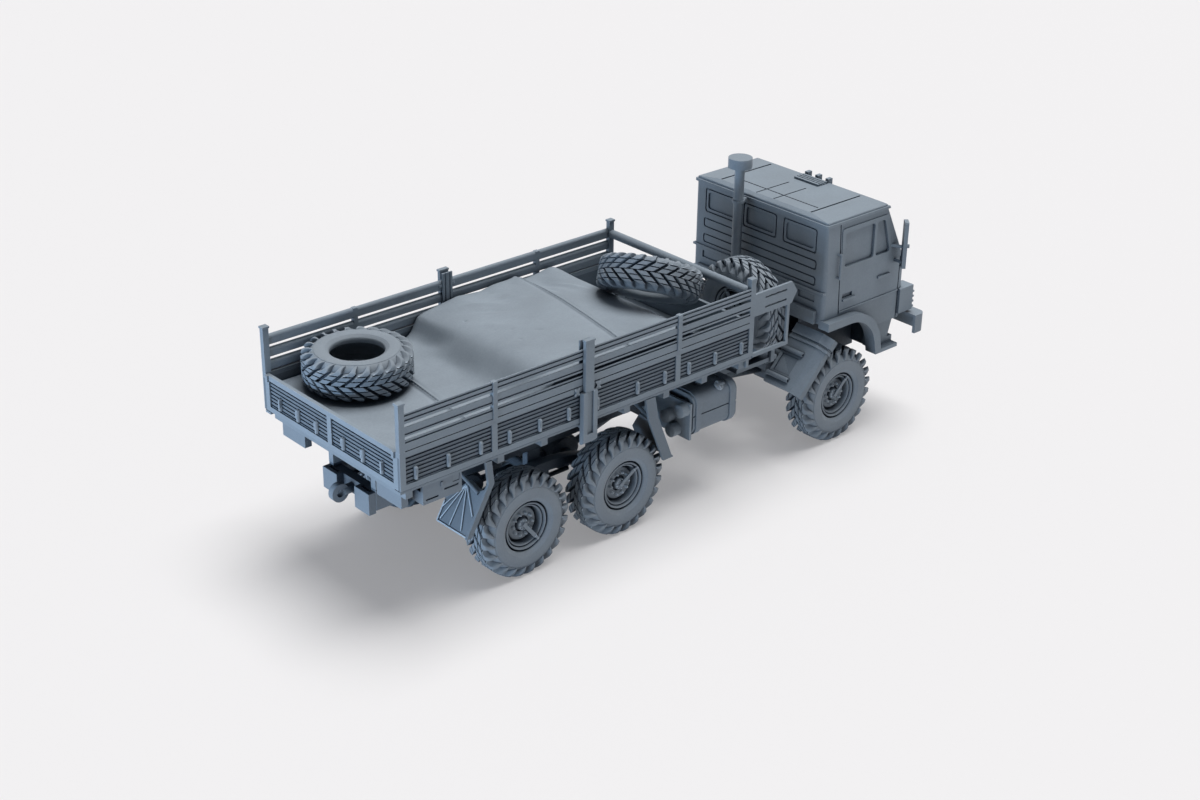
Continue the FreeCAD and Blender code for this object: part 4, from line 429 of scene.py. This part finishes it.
def domes(ring_r, count, radius, y, height, start=0.0, sides=8):
    """Ring of domed nuts: one (r, y) outline spun, then set at each place of the ring."""
    outline = [(0.0, y - height * 1.2), (radius, y - height * 1.2), (radius, y + height * 0.45),
               (radius * 0.8, y + height * 0.8), (radius * 0.42, y + height), (0.0, y + height)]
    points, faces = spun(outline, sides)
    around = start + np.arange(count) * 2 * np.pi / count
    places = np.stack([ring_r * np.cos(around), np.zeros(count), ring_r * np.sin(around)], -1)
    return repeated(points[None] + places[:, None], faces)


def rim_shape(pipe_degrees, bored=True):
    """Wheel about Y seen from +Y: a spun outline with flange, groove, well, disc and hub.

    Two flat bars, one after the other, make the air pipe that runs from the hub cap out to
    the flange at pipe_degrees. A wheel with no bore, the spare's, is closed behind.
    """
    front = [(0.0, 20.14), (0.36, 20.13), (0.62, 20.06), (0.74, 19.94), (0.80, 19.86),
             (0.86, 19.84), (1.18, 19.82), (1.26, 19.72), (1.28, 19.3), (1.30, 18.80),
             (1.60, 18.78), (1.64, 19.0), (1.70, 19.26), (1.80, 19.30), (3.28, disc_y),
             (3.42, 19.18), (3.50, 18.9), (3.54, 18.2), (3.94, 18.16), (4.06, 19.9),
             (4.12, 20.24), (4.22, 20.36), (4.38, 20.34), (4.44, 20.22), (4.46, 19.8),
             (4.60, 19.8), (4.64, 20.50), (4.70, 20.74), (4.80, 20.84), (4.94, 20.84),
             (5.04, 20.76), (5.08, 20.56), (5.10, 19.7), (5.28, 19.65), (5.28, 15.75)]
    back = [(4.95, 15.75), (4.85, 17.9), (2.1, 17.9), (2.0, 16.6), (1.04, 16.6), (1.04, 19.85),
            (0.0, 19.85)]
    if not bored:
        back = [(4.95, 15.75), (4.85, 17.9), (2.1, 17.9), (2.0, 17.2), (0.0, 17.2)]
    parts = [spun(front + back, 72)]
    reach = np.radians(pipe_degrees)
    out_way = np.array([np.cos(reach), 0, np.sin(reach)])
    y_axis = np.array([0.0, 1.0, 0.0])
    # each bar's start and end as (r, y), then its half width and half thickness
    for (r0, y0), (r1, y1), half_w, half_t in (((-0.5, 20.22), (4.1, 20.54), 0.40, 0.15),
                                               ((3.9, 20.62), (4.9, 20.82), 0.27, 0.14)):
        parts.append(strip(out_way * r0 + y_axis * y0, out_way * r1 + y_axis * y1,
                           half_w, half_t, y_axis))
    return joined(parts)


def nuts_shape():
    """Ring of ten domed nuts on the wheel disc and eight small ones on the hub cap."""
    return joined([domes(2.36, 10, 0.29, disc_y, 0.85),
                   domes(1.0, 8, 0.15, hub_cap_y, 0.34, start=0.2, sides=6)])


rim_bevel = 0.03
pipe_angles = {"rear": (-52, -128), "middle": (38, 142), "front": (50, 130)}   # right, left
for place, x in wheel_x.items():
    for side, sign, degrees in (("left", 1, pipe_angles[place][1]),
                                ("right", -1, pipe_angles[place][0])):
        wheel = place + "_" + side
        rim, nuts = rim_shape(degrees), nuts_shape()
        if sign < 0:
            rim, nuts = other_side(rim), other_side(nuts)
        made("detailed_rim_" + wheel, rim[0] + (x, 0, tyre_r), rim[1], tyre_resin,
             body="wheel_" + wheel, stands_for=("rim_" + wheel,), rounding=rim_bevel)
        # the nuts' paler resin is a painted highlight
        made("wheel_nuts_" + wheel, nuts[0] + (x, 0, tyre_r), nuts[1], highlit_nut_resin,
             body="wheel_" + wheel)
points, faces = rim_shape(60, bored=False)
points = turned(points - (0, tyre_mid_y, 0), "Z", 90)
made("detailed_rim_spare", points + spare_at, faces, tyre_resin, stands_for=("spare_rim",),
     rounding=rim_bevel)
points, faces = nuts_shape()
points = turned(points - (0, tyre_mid_y, 0), "Z", 90)
made("wheel_nuts_spare", points + spare_at, faces, highlit_nut_resin)


# Sheeted load

profile_step = 0.1
profile_reach = 40                       # steps each side that the averaging takes in


def eased(stations, spread):
    """Heights along X: straight runs between stations, averaged over a bell of width spread."""
    xs = np.arange(-34.0, 50.0, profile_step)
    sx, sz = np.array(stations, float).T
    z = np.interp(xs, sx, sz)
    reach = np.arange(-profile_reach, profile_reach + 1) * profile_step
    weights = np.exp(-0.5 * (reach / spread) ** 2)
    padded = np.pad(z, profile_reach, mode="edge")
    return xs, np.convolve(padded, weights / weights.sum(), mode="valid")


left_edge = eased([(-29.4, 35.7), (-4, 35.6), (1.4, 35.9), (3.2, 36.5), (4.3, 37.4), (5.6, 40.0),
                   (7.2, 40.5), (10.1, 40.9), (15.8, 41.7), (22.0, 41.1), (25.0, 41.7),
                   (31.0, 41.9), (33.6, 41.1), (38.0, 41.0), (41.9, 41.1), (43.4, 40.4),
                   (44.0, 39.6)], 0.42)
right_edge = eased([(-29.4, 35.6), (-7.0, 35.5), (-0.6, 35.7), (2.0, 36.7), (5.8, 40.7),
                    (8.6, 41.5), (12.5, 41.75), (20.0, 41.8), (28.0, 41.75), (36.0, 41.6),
                    (41.0, 41.3), (43.2, 40.7), (44.0, 40.0)], 1.15)


def bell(x, y, at_x, at_y, wide_x, wide_y, turn=0.0):
    """Bell-shaped bump of height 1 about a point, wider one way than the other, turned."""
    c, s = np.cos(np.radians(turn)), np.sin(np.radians(turn))
    along = ((x - at_x) * c + (y - at_y) * s) / wide_x
    across = ((y - at_y) * c - (x - at_x) * s) / wide_y
    return np.exp(-along ** 2 - across ** 2)


def welt(x, y, line, high):
    """Doubled seam: two low ridges with a groove between, along x = line(y)."""
    away = x - np.interp(y, line[:, 0], line[:, 1])
    ridges_and_hollows = ((1.0, 0.28, 0.17), (1.0, -0.28, 0.17), (-0.7, 0.0, 0.14),
                          (-0.5, 0.85, 0.4), (-0.4, -0.85, 0.4))
    return high * sum(share * np.exp(-((away - centre) / width) ** 2)
                      for share, centre, width in ridges_and_hollows)


front_welt = np.array([(-21.3, 26.2), (-14.7, 27.3), (-5.0, 29.3), (4.8, 31.0), (19.6, 32.6),
                       (21.3, 32.8)])
rear_welt = np.array([(-21.3, -10.9), (-5.0, -9.4), (3.3, -8.4), (12.0, -7.8), (21.3, -7.4)])
left_from_y, left_over = 4.0, 17.0       # where the left profile begins to count, and the run
sheet_low_z, sheet_rise = 36.0, 5.0
crown_height = 0.12
folds = (                                # height, then where, how wide and how far turned
    (0.62, (40.6, 18.8, 2.2, 3.6)), (-0.95, (35.6, 15.6, 1.9, 4.6, 16)),
    (-0.45, (33.9, 12.2, 1.0, 3.0)), (0.42, (38.0, 9.6, 0.9, 5.0, 14)),
    (0.36, (17.8, 13.2, 4.2, 0.8, -36)), (-0.36, (15.8, 11.0, 4.5, 1.2, -38)),
    (0.26, (21.5, 16.5, 4.0, 0.9, -28)), (-0.28, (22.8, 13.8, 4.0, 1.3, -24)),
    (0.22, (12.6, 3.5, 4.0, 1.2, -50)), (-0.22, (20.0, 1.5, 5.0, 2.4, -30)),
    (0.30, (31.4, 20.4, 0.7, 0.9)), (-0.28, (29.0, 18.8, 1.6, 1.6)),
    (-0.70, (3.6, 12.8, 1.6, 5.0, 10)), (-0.5, (1.8, 4.0, 1.8, 6.0)),
    (0.30, (-3.0, 17.0, 3.2, 3.4)), (-0.2, (-6.0, -8.0, 3.0, 7.0)),
    (0.16, (24.0, -14.0, 6.0, 2.5, 12)), (0.14, (-14.0, -14.0, 6.0, 2.6)),
    (-0.34, (9.6, 9.9, 0.3, 0.3)), (-0.22, (13.6, 0.0, 0.42, 0.26)),
    (-0.22, (17.7, -3.8, 0.8, 0.22, -30)), (-0.2, (12.1, -4.7, 0.36, 0.3)),
    (-0.16, (15.0, -1.2, 0.5, 0.26, 30)), (-0.15, (11.0, 2.0, 0.4, 0.26)),
    (0.12, (14.6, 2.6, 0.5, 0.3, 20)), (0.1, (8.4, -8.6, 0.4, 0.3)))


def load_height(x, y):
    """Height of the sheet: two side profiles mixed across the bed, with bumps and seams added.

    The left profile rises steeply and counts only near the left side. Bell-shaped hollows,
    mounds, folds and pits follow the cast sheet, and a broad crown lifts the middle.
    """
    mix = np.clip((y - left_from_y) / left_over, 0, 1)
    mix = mix * mix * (3 - 2 * mix)
    z = mix * np.interp(x, *left_edge) + (1 - mix) * np.interp(x, *right_edge)
    high = np.clip((z - sheet_low_z) / sheet_rise, 0, 1)
    z += crown_height * (1 - (y / sheet_half) ** 2) * high
    for height, where in folds:
        z += height * bell(x, y, *where)
    z += welt(x, y, front_welt, 0.20) + welt(x, y, rear_welt, 0.22)
    return z


def sheeted_load():
    """Sheet over the load: a height for each (x, y), with its edges turned down to the floor."""
    front_x, hem_drop, hem_w = 43.9, 0.75, 0.9
    spans = ((-29.4, -11.8, 40), (-11.8, -6.2, 48), (-6.2, 0.4, 18), (0.4, 12.0, 52),
             (12.0, 25.4, 44), (25.4, 34.0, 74), (34.0, front_x, 36))
    xs = np.concatenate([np.linspace(a, b, n, endpoint=False) for a, b, n in spans] + [[front_x]])
    ys = np.linspace(-sheet_half, sheet_half, 152)
    x, y = np.meshgrid(xs, ys, indexing="ij")
    z = load_height(x, y)
    near = np.minimum(np.minimum(x - xs[0], (xs[-1] - x) * 0.5), sheet_half - np.abs(y))
    z -= hem_drop * np.clip(1 - near / hem_w, 0, 1) ** 2.2
    rows, cols = z.shape
    index = np.arange(rows * cols).reshape(rows, cols)
    ring = np.concatenate([index[0, :], index[1:, -1], index[-1, -2::-1], index[-2:0:-1, 0]])
    top = np.stack([x, y, z], -1).reshape(-1, 3)
    foot = top[ring] * (1, 1, 0) + (0, 0, bed_deck_z)
    here = rows * cols + np.arange(len(ring))
    after = np.roll(here, -1)
    walls = np.stack([np.roll(ring, -1), after, here, ring], -1)
    centre = rows * cols + len(ring)
    floor = np.stack([np.full(len(ring), centre), here, after], -1)
    points = np.concatenate([top, foot, [(7.0, 0.0, bed_deck_z)]])
    return outward(points, [quads(rows, cols)[:, ::-1], walls[:, ::-1], floor[:, ::-1]])


points, faces = sheeted_load()
made("sheet_over_load", points, faces, load_resin, stands_for=("tarpaulin_load",))


# Small raised details; most are in paler resin, as painted highlights

clip_low_z, clip_high_z = 31.5, 34.2
clip_half_wide, clip_half_deep = 0.32, 0.44
clip_sunk = 0.12                         # how far a clip's middle lies inside the board's face
clip_draw = 0.12                         # height over which a clip's end narrows
board_t = 0.8


def upright_bars(centres, half_x, half_y):
    """Upright clips: an eight-cornered outline carried up Z, drawn in at both ends."""
    t = (np.arange(8) + 0.5) * np.pi / 4
    ring = np.column_stack([half_x * np.clip(np.cos(t) * 1.3, -1, 1),
                            half_y * np.clip(np.sin(t) * 1.3, -1, 1)])
    heights = np.array([clip_low_z, clip_low_z + clip_draw, clip_high_z - clip_draw, clip_high_z])
    share = np.array([0.6, 1.0, 1.0, 0.6])
    shape = np.empty((4, 8, 3))
    shape[..., :2] = ring[None] * share[:, None, None]
    shape[..., 2] = heights[:, None]
    bars = shape[None] + np.column_stack([centres, np.zeros(len(centres))])[:, None, None]
    return repeated(bars, carried(bars))


side_shares = np.array([0.039, 0.121, 0.204, 0.280, 0.362, 0.442, 0.523, 0.640, 0.722, 0.796,
                        0.878, 0.962])
gate_shares = np.array([0.114, 0.251, 0.396, 0.599, 0.744, 0.888])
clip_x = bed_rear + bed_long * side_shares
for side, sign in (("left", 1), ("right", -1)):
    face_y = np.full(len(clip_x), sign * (bed_half - clip_sunk))
    points, faces = upright_bars(np.column_stack([clip_x, face_y]), clip_half_wide,
                                 clip_half_deep)
    made("board_clips_" + side, points, faces, highlit_detail_resin)
clip_y = -bed_half + board_t + 2 * (bed_half - board_t) * gate_shares
face_x = np.full(len(clip_y), bed_rear + clip_sunk)
points, faces = upright_bars(np.column_stack([face_x, clip_y]), clip_half_deep, clip_half_wide)
made("tailgate_clips", points, faces, highlit_detail_resin)


def crossed_latches():
    """Crossed flat bars on the top rail of each board, on both sides of the centre post."""
    post_x, beside, reach_x = 14.0, 2.7, 0.55
    low_z, high_z = 36.35, 37.75
    parts = []
    for sign in (-1, 1):
        out = sign * (bed_half + 0.24)
        for x in (post_x - beside, post_x + beside):
            for lean in (-reach_x, reach_x):
                parts.append(strip((x - lean, out, low_z), (x + lean, out, high_z),
                                   0.17, 0.13, (0, sign, 0)))
    return joined(parts)


points, faces = crossed_latches()
made("crossed_latches", points, faces, highlit_detail_resin, rounding=0.04)


def arch_liners():
    """Plates that close each front wheel arch: one on its inner side and one in front."""
    inner_y, half_t, top_z = 12.85, 0.25, 29.4
    front_y, front_half_w = 16.1, 3.4
    parts = []
    for sign in (-1, 1):
        y = sign * inner_y
        parts.append(block((84.6, y - half_t, 17.2), (103.0, y + half_t, top_z)))
        y = sign * front_y
        parts.append(block((102.3, y - front_half_w, 18.4), (102.85, y + front_half_w, top_z)))
    return joined(parts)


points, faces = arch_liners()
made("arch_liners", points, faces, shaded_chassis_resin, rounding=0.1)


def filler_caps():
    """Screw caps on the tanks: a stepped outline spun about Y, with a bar and a lug across it.

    Each cap is tilted outwards from straight up and stands on its tank's shoulder.
    """
    cap_x, cap_y, cap_z, tilt_deg = 52.4, 20.2, 24.7, 42
    outline = [(0.0, -0.5), (0.8, -0.5), (0.8, 0.0), (1.08, 0.06), (1.08, 0.42), (0.92, 0.56),
               (0.4, 0.6), (0.0, 0.6)]
    bar = strip((-1.25, 0.72, 0.0), (1.25, 0.72, 0.0), 0.2, 0.16, (0, 1, 0))
    lug = strip((-0.2, 0.55, -1.0), (-0.2, 0.55, 1.0), 0.16, 0.14, (0, 1, 0))
    parts = []
    for sign in (-1, 1):
        for shape in (spun(outline, 24), bar, lug):
            parts.append(placed(shape, [("X", 90 - sign * tilt_deg)],
                                (cap_x, sign * cap_y, cap_z)))
    return joined(parts)


points, faces = filler_caps()
made("filler_caps", points, faces, highlit_detail_resin)


def painted_flap_highlights(knee_x, foot_x, foot_z, side):
    """Thin raised lines in paler resin over a flap's ribs and rim, a painted highlight: flat bars
    between shares of its face.

    A share across runs inwards from the flap's outer edge, and a share down from its knee.
    """
    outer_y, flap_w, knee_z, proud = 22.3, 9.8, 24.4, 0.82
    rib_half_w, rim_half_w, half_t = 0.10, 0.14, 0.07

    def at(across, down):
        return np.array([knee_x + (foot_x - knee_x) * down + side * proud,
                         outer_y - flap_w * across, knee_z - (knee_z - foot_z) * down])

    run = at(0, 1) - at(0, 0)
    normal = np.cross((0, 1, 0), run / np.linalg.norm(run)) * -side
    ends = ((0.12, 0.62), (0.27, 0.93), (0.62, 0.95), (0.92, 0.93), (0.97, 0.72))
    fan, corner = at(0.58, 0.20), at(0.985, 0.985)
    lines = [(fan, at(*end), rib_half_w) for end in ends]
    lines += [(at(0.02, 0.985), corner, rim_half_w), (corner, at(0.985, 0.62), rim_half_w)]
    parts = []
    for start, end, half_w in lines:
        shape = strip(start, end, half_w, half_t, normal)
        parts += [shape, other_side(shape)]
    return joined(parts)


# knee's X, foot's X and Z, and the way the flap faces
for name, flap in (("rear", (-9.3, -14.8, 14.4, -1)), ("middle", (32.8, 37.1, 13.9, 1))):
    points, faces = painted_flap_highlights(*flap)
    made(name + "_flap_highlight_lines", points, faces, highlit_detail_resin)


# Finish of the CAD nodes

weld_reach = 0.002
cad_bevel, cad_bevel_from_deg = 0.09, 32
bed_nodes = ("bed_floor", "front_board", "upper_side", "front_bar", "centre_posts",
             "carrier_side_board")
cab_nodes = ("cab_", "roof_", "mirror_", "intake_stack", "front_grille", "lamp_guards")
# darker tanks, flaps and mudguards are painted shade, the lighter tailgate painted light; nodes not
# listed take the chassis resin's painted shade
finishes = ((bed_nodes, bed_resin), (cab_nodes, cab_resin), ("front_bumper", body_resin),
            ("front_mudguards", shaded_guard_resin),
            (("rear_mudflaps", "middle_mudflaps"), shaded_flap_resin), ("side_board", side_resin),
            ("tailgate", lit_gate_resin), ("fuel_tanks", shaded_tank_resin), ("air_tanks", bottle_resin))
for name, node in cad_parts.items():
    chosen = [finish for starts, finish in finishes if name.startswith(starts)]
    node.data.materials.clear()
    node.data.materials.append(chosen[0] if chosen else shaded_chassis_resin)
    if node.hide_render:
        continue
    weld = node.modifiers.new("weld", "WELD")
    weld.merge_threshold = weld_reach * mm
    bevelled(node, cad_bevel, cad_bevel_from_deg)
    if name == "cab_shell":
        even = node.modifiers.new("even_shade", "WEIGHTED_NORMAL")
        even.keep_sharp = True
        even.weight = 100


# Floor, light and camera

table_colour = (0.765, 0.76, 0.768, 1)
table_glow = (0.985, 0.98, 1.0, 1)
glow_share = 0.265
backdrop_colour = (0.865, 0.86, 0.868, 1)
sky_low, sky_high = (0.012, 0.016, 0.022, 1), (0.17, 0.175, 0.19, 1)


def seen_share(nodes, links, share):
    """Share for rays from the camera, reflections and transmission, and 0 for other rays."""
    path = nodes.new("ShaderNodeLightPath")
    seen = path.outputs["Is Camera Ray"]
    for kind in ("Is Glossy Ray", "Is Transmission Ray"):
        either = nodes.new("ShaderNodeMath")
        either.operation = "MAXIMUM"
        links.new(seen, either.inputs[0])
        links.new(path.outputs[kind], either.inputs[1])
        seen = either.outputs["Value"]
    scaled = nodes.new("ShaderNodeMath")
    scaled.operation = "MULTIPLY"
    scaled.inputs[1].default_value = share
    links.new(seen, scaled.inputs[0])
    return scaled.outputs["Value"]


def pale_table():
    """Flat table that takes the object's shadow, and glows a little where it is looked at."""
    half = 4.0
    mesh = bpy.data.meshes.new("table")
    corners = [(-half, -half, 0), (half, -half, 0), (half, half, 0), (-half, half, 0)]
    mesh.from_pydata(corners, [], [(0, 1, 2, 3)])
    table = bpy.data.objects.new("table", mesh)
    bpy.context.scene.collection.objects.link(table)
    mat = bpy.data.materials.new("pale_table")
    mat.use_nodes = True
    nodes, links = mat.node_tree.nodes, mat.node_tree.links
    shader = nodes["Principled BSDF"]
    shader.inputs["Base Color"].default_value = table_colour
    shader.inputs["Roughness"].default_value = 0.7
    shader.inputs["Specular IOR Level"].default_value = 0.2
    glow = nodes.new("ShaderNodeEmission")
    glow.inputs["Color"].default_value = table_glow
    glow.inputs["Strength"].default_value = 1.0
    both = nodes.new("ShaderNodeMixShader")
    links.new(seen_share(nodes, links, glow_share), both.inputs["Fac"])
    links.new(shader.outputs["BSDF"], both.inputs[1])
    links.new(glow.outputs["Emission"], both.inputs[2])
    links.new(both.outputs["Shader"], nodes["Material Output"].inputs["Surface"])
    mesh.materials.append(mat)
    return table


def far_lamp(name, toward, strength, angle, colour):
    """Lamp so far off that its light is parallel, as wide in the sky as angle says."""
    data = bpy.data.lights.new(name, "SUN")
    data.energy = strength
    data.angle = np.radians(angle)
    data.color = colour
    obj = bpy.data.objects.new(name, data)
    obj.rotation_euler = Vector(toward).to_track_quat("Z", "Y").to_euler()
    bpy.context.scene.collection.objects.link(obj)


def low_lamp(table):
    """Long low lamp behind the truck: it lights upright faces there, but not the table."""
    data = bpy.data.lights.new("low_lamp", "AREA")
    data.shape = "RECTANGLE"
    data.size = 0.40
    data.size_y = 0.012
    data.energy = 0.82
    data.color = (0.55, 0.76, 1.0)
    lamp = bpy.data.objects.new("low_lamp", data)
    lamp.location = (-0.34, 0.03, 0.010)
    lamp.rotation_euler = Vector((-1, 0, 0)).to_track_quat("Z", "Y").to_euler()
    lamp.visible_camera = False
    lamp.visible_glossy = False
    bpy.context.scene.collection.objects.link(lamp)
    unlit = bpy.data.collections.new("unlit_by_low_lamp")
    unlit.objects.link(table)
    lamp.light_linking.receiver_collection = unlit
    unlit.collection_objects[0].light_linking.link_state = "EXCLUDE"


def dim_sky():
    """Sky that is darker low down and lights softly, with a pale backdrop where it is seen."""
    world = bpy.data.worlds.new("even_sky")
    world.use_nodes = True
    nodes, links = world.node_tree.nodes, world.node_tree.links
    way = nodes.new("ShaderNodeTexCoord")
    split = nodes.new("ShaderNodeSeparateXYZ")
    ramp = nodes.new("ShaderNodeValToRGB")
    for element, position, colour in zip(ramp.color_ramp.elements, (0.05, 0.75),
                                         (sky_low, sky_high)):
        element.position = position
        element.color = colour
    links.new(way.outputs["Generated"], split.inputs["Vector"])
    links.new(split.outputs["Z"], ramp.inputs["Fac"])
    backdrop = nodes.new("ShaderNodeMix")
    backdrop.data_type = "RGBA"
    backdrop.inputs["B"].default_value = backdrop_colour
    links.new(seen_share(nodes, links, 1.0), backdrop.inputs["Factor"])
    links.new(ramp.outputs["Color"], backdrop.inputs["A"])
    links.new(backdrop.outputs["Result"], nodes["Background"].inputs["Color"])
    nodes["Background"].inputs["Strength"].default_value = 1.0
    bpy.context.scene.world = world


def camera():
    """Camera at the photograph's angle: behind, to the right and above."""
    azimuth, elevation, roll = np.radians((-42.1, 26.3, 0.9))
    back = np.array([np.sin(azimuth) * np.cos(elevation), -np.cos(azimuth) * np.cos(elevation),
                     np.sin(elevation)])
    distance, lens_px, frame_px, sensor_mm = 339.29, 1919.1, 1200, 36.0
    target = (np.array([-3.036, -44.95, 48.46]) - (middle_x, 0, 0)) * mm
    spot = target + back * distance * mm
    right = np.cross(-back, (0, 0, 1))
    right /= np.linalg.norm(right)
    up = np.cross(right, -back)
    turned_right = right * np.cos(roll) + up * np.sin(roll)
    turned_up = up * np.cos(roll) - right * np.sin(roll)
    data = bpy.data.cameras.new("camera")
    data.sensor_width = sensor_mm
    data.sensor_fit = "HORIZONTAL"
    data.lens = lens_px / frame_px * sensor_mm
    data.clip_start = 0.01
    data.clip_end = 20.0
    obj = bpy.data.objects.new("camera", data)
    matrix = np.eye(4)
    matrix[:3, 0], matrix[:3, 1], matrix[:3, 2], matrix[:3, 3] = turned_right, turned_up, back, spot
    obj.matrix_world = Matrix(matrix.tolist())
    bpy.context.scene.collection.objects.link(obj)
    bpy.context.scene.camera = obj


table = pale_table()
far_lamp("broad_lamp", (0.26, 0.0, 0.965), 3.12, 42, (1.0, 0.985, 0.965))
far_lamp("cool_fill", (-0.93, 0.10, 0.32), 0.06, 60, (0.42, 0.70, 1.0))
low_lamp(table)
dim_sky()
camera()
bpy.context.scene.view_settings.view_transform = "Standard"
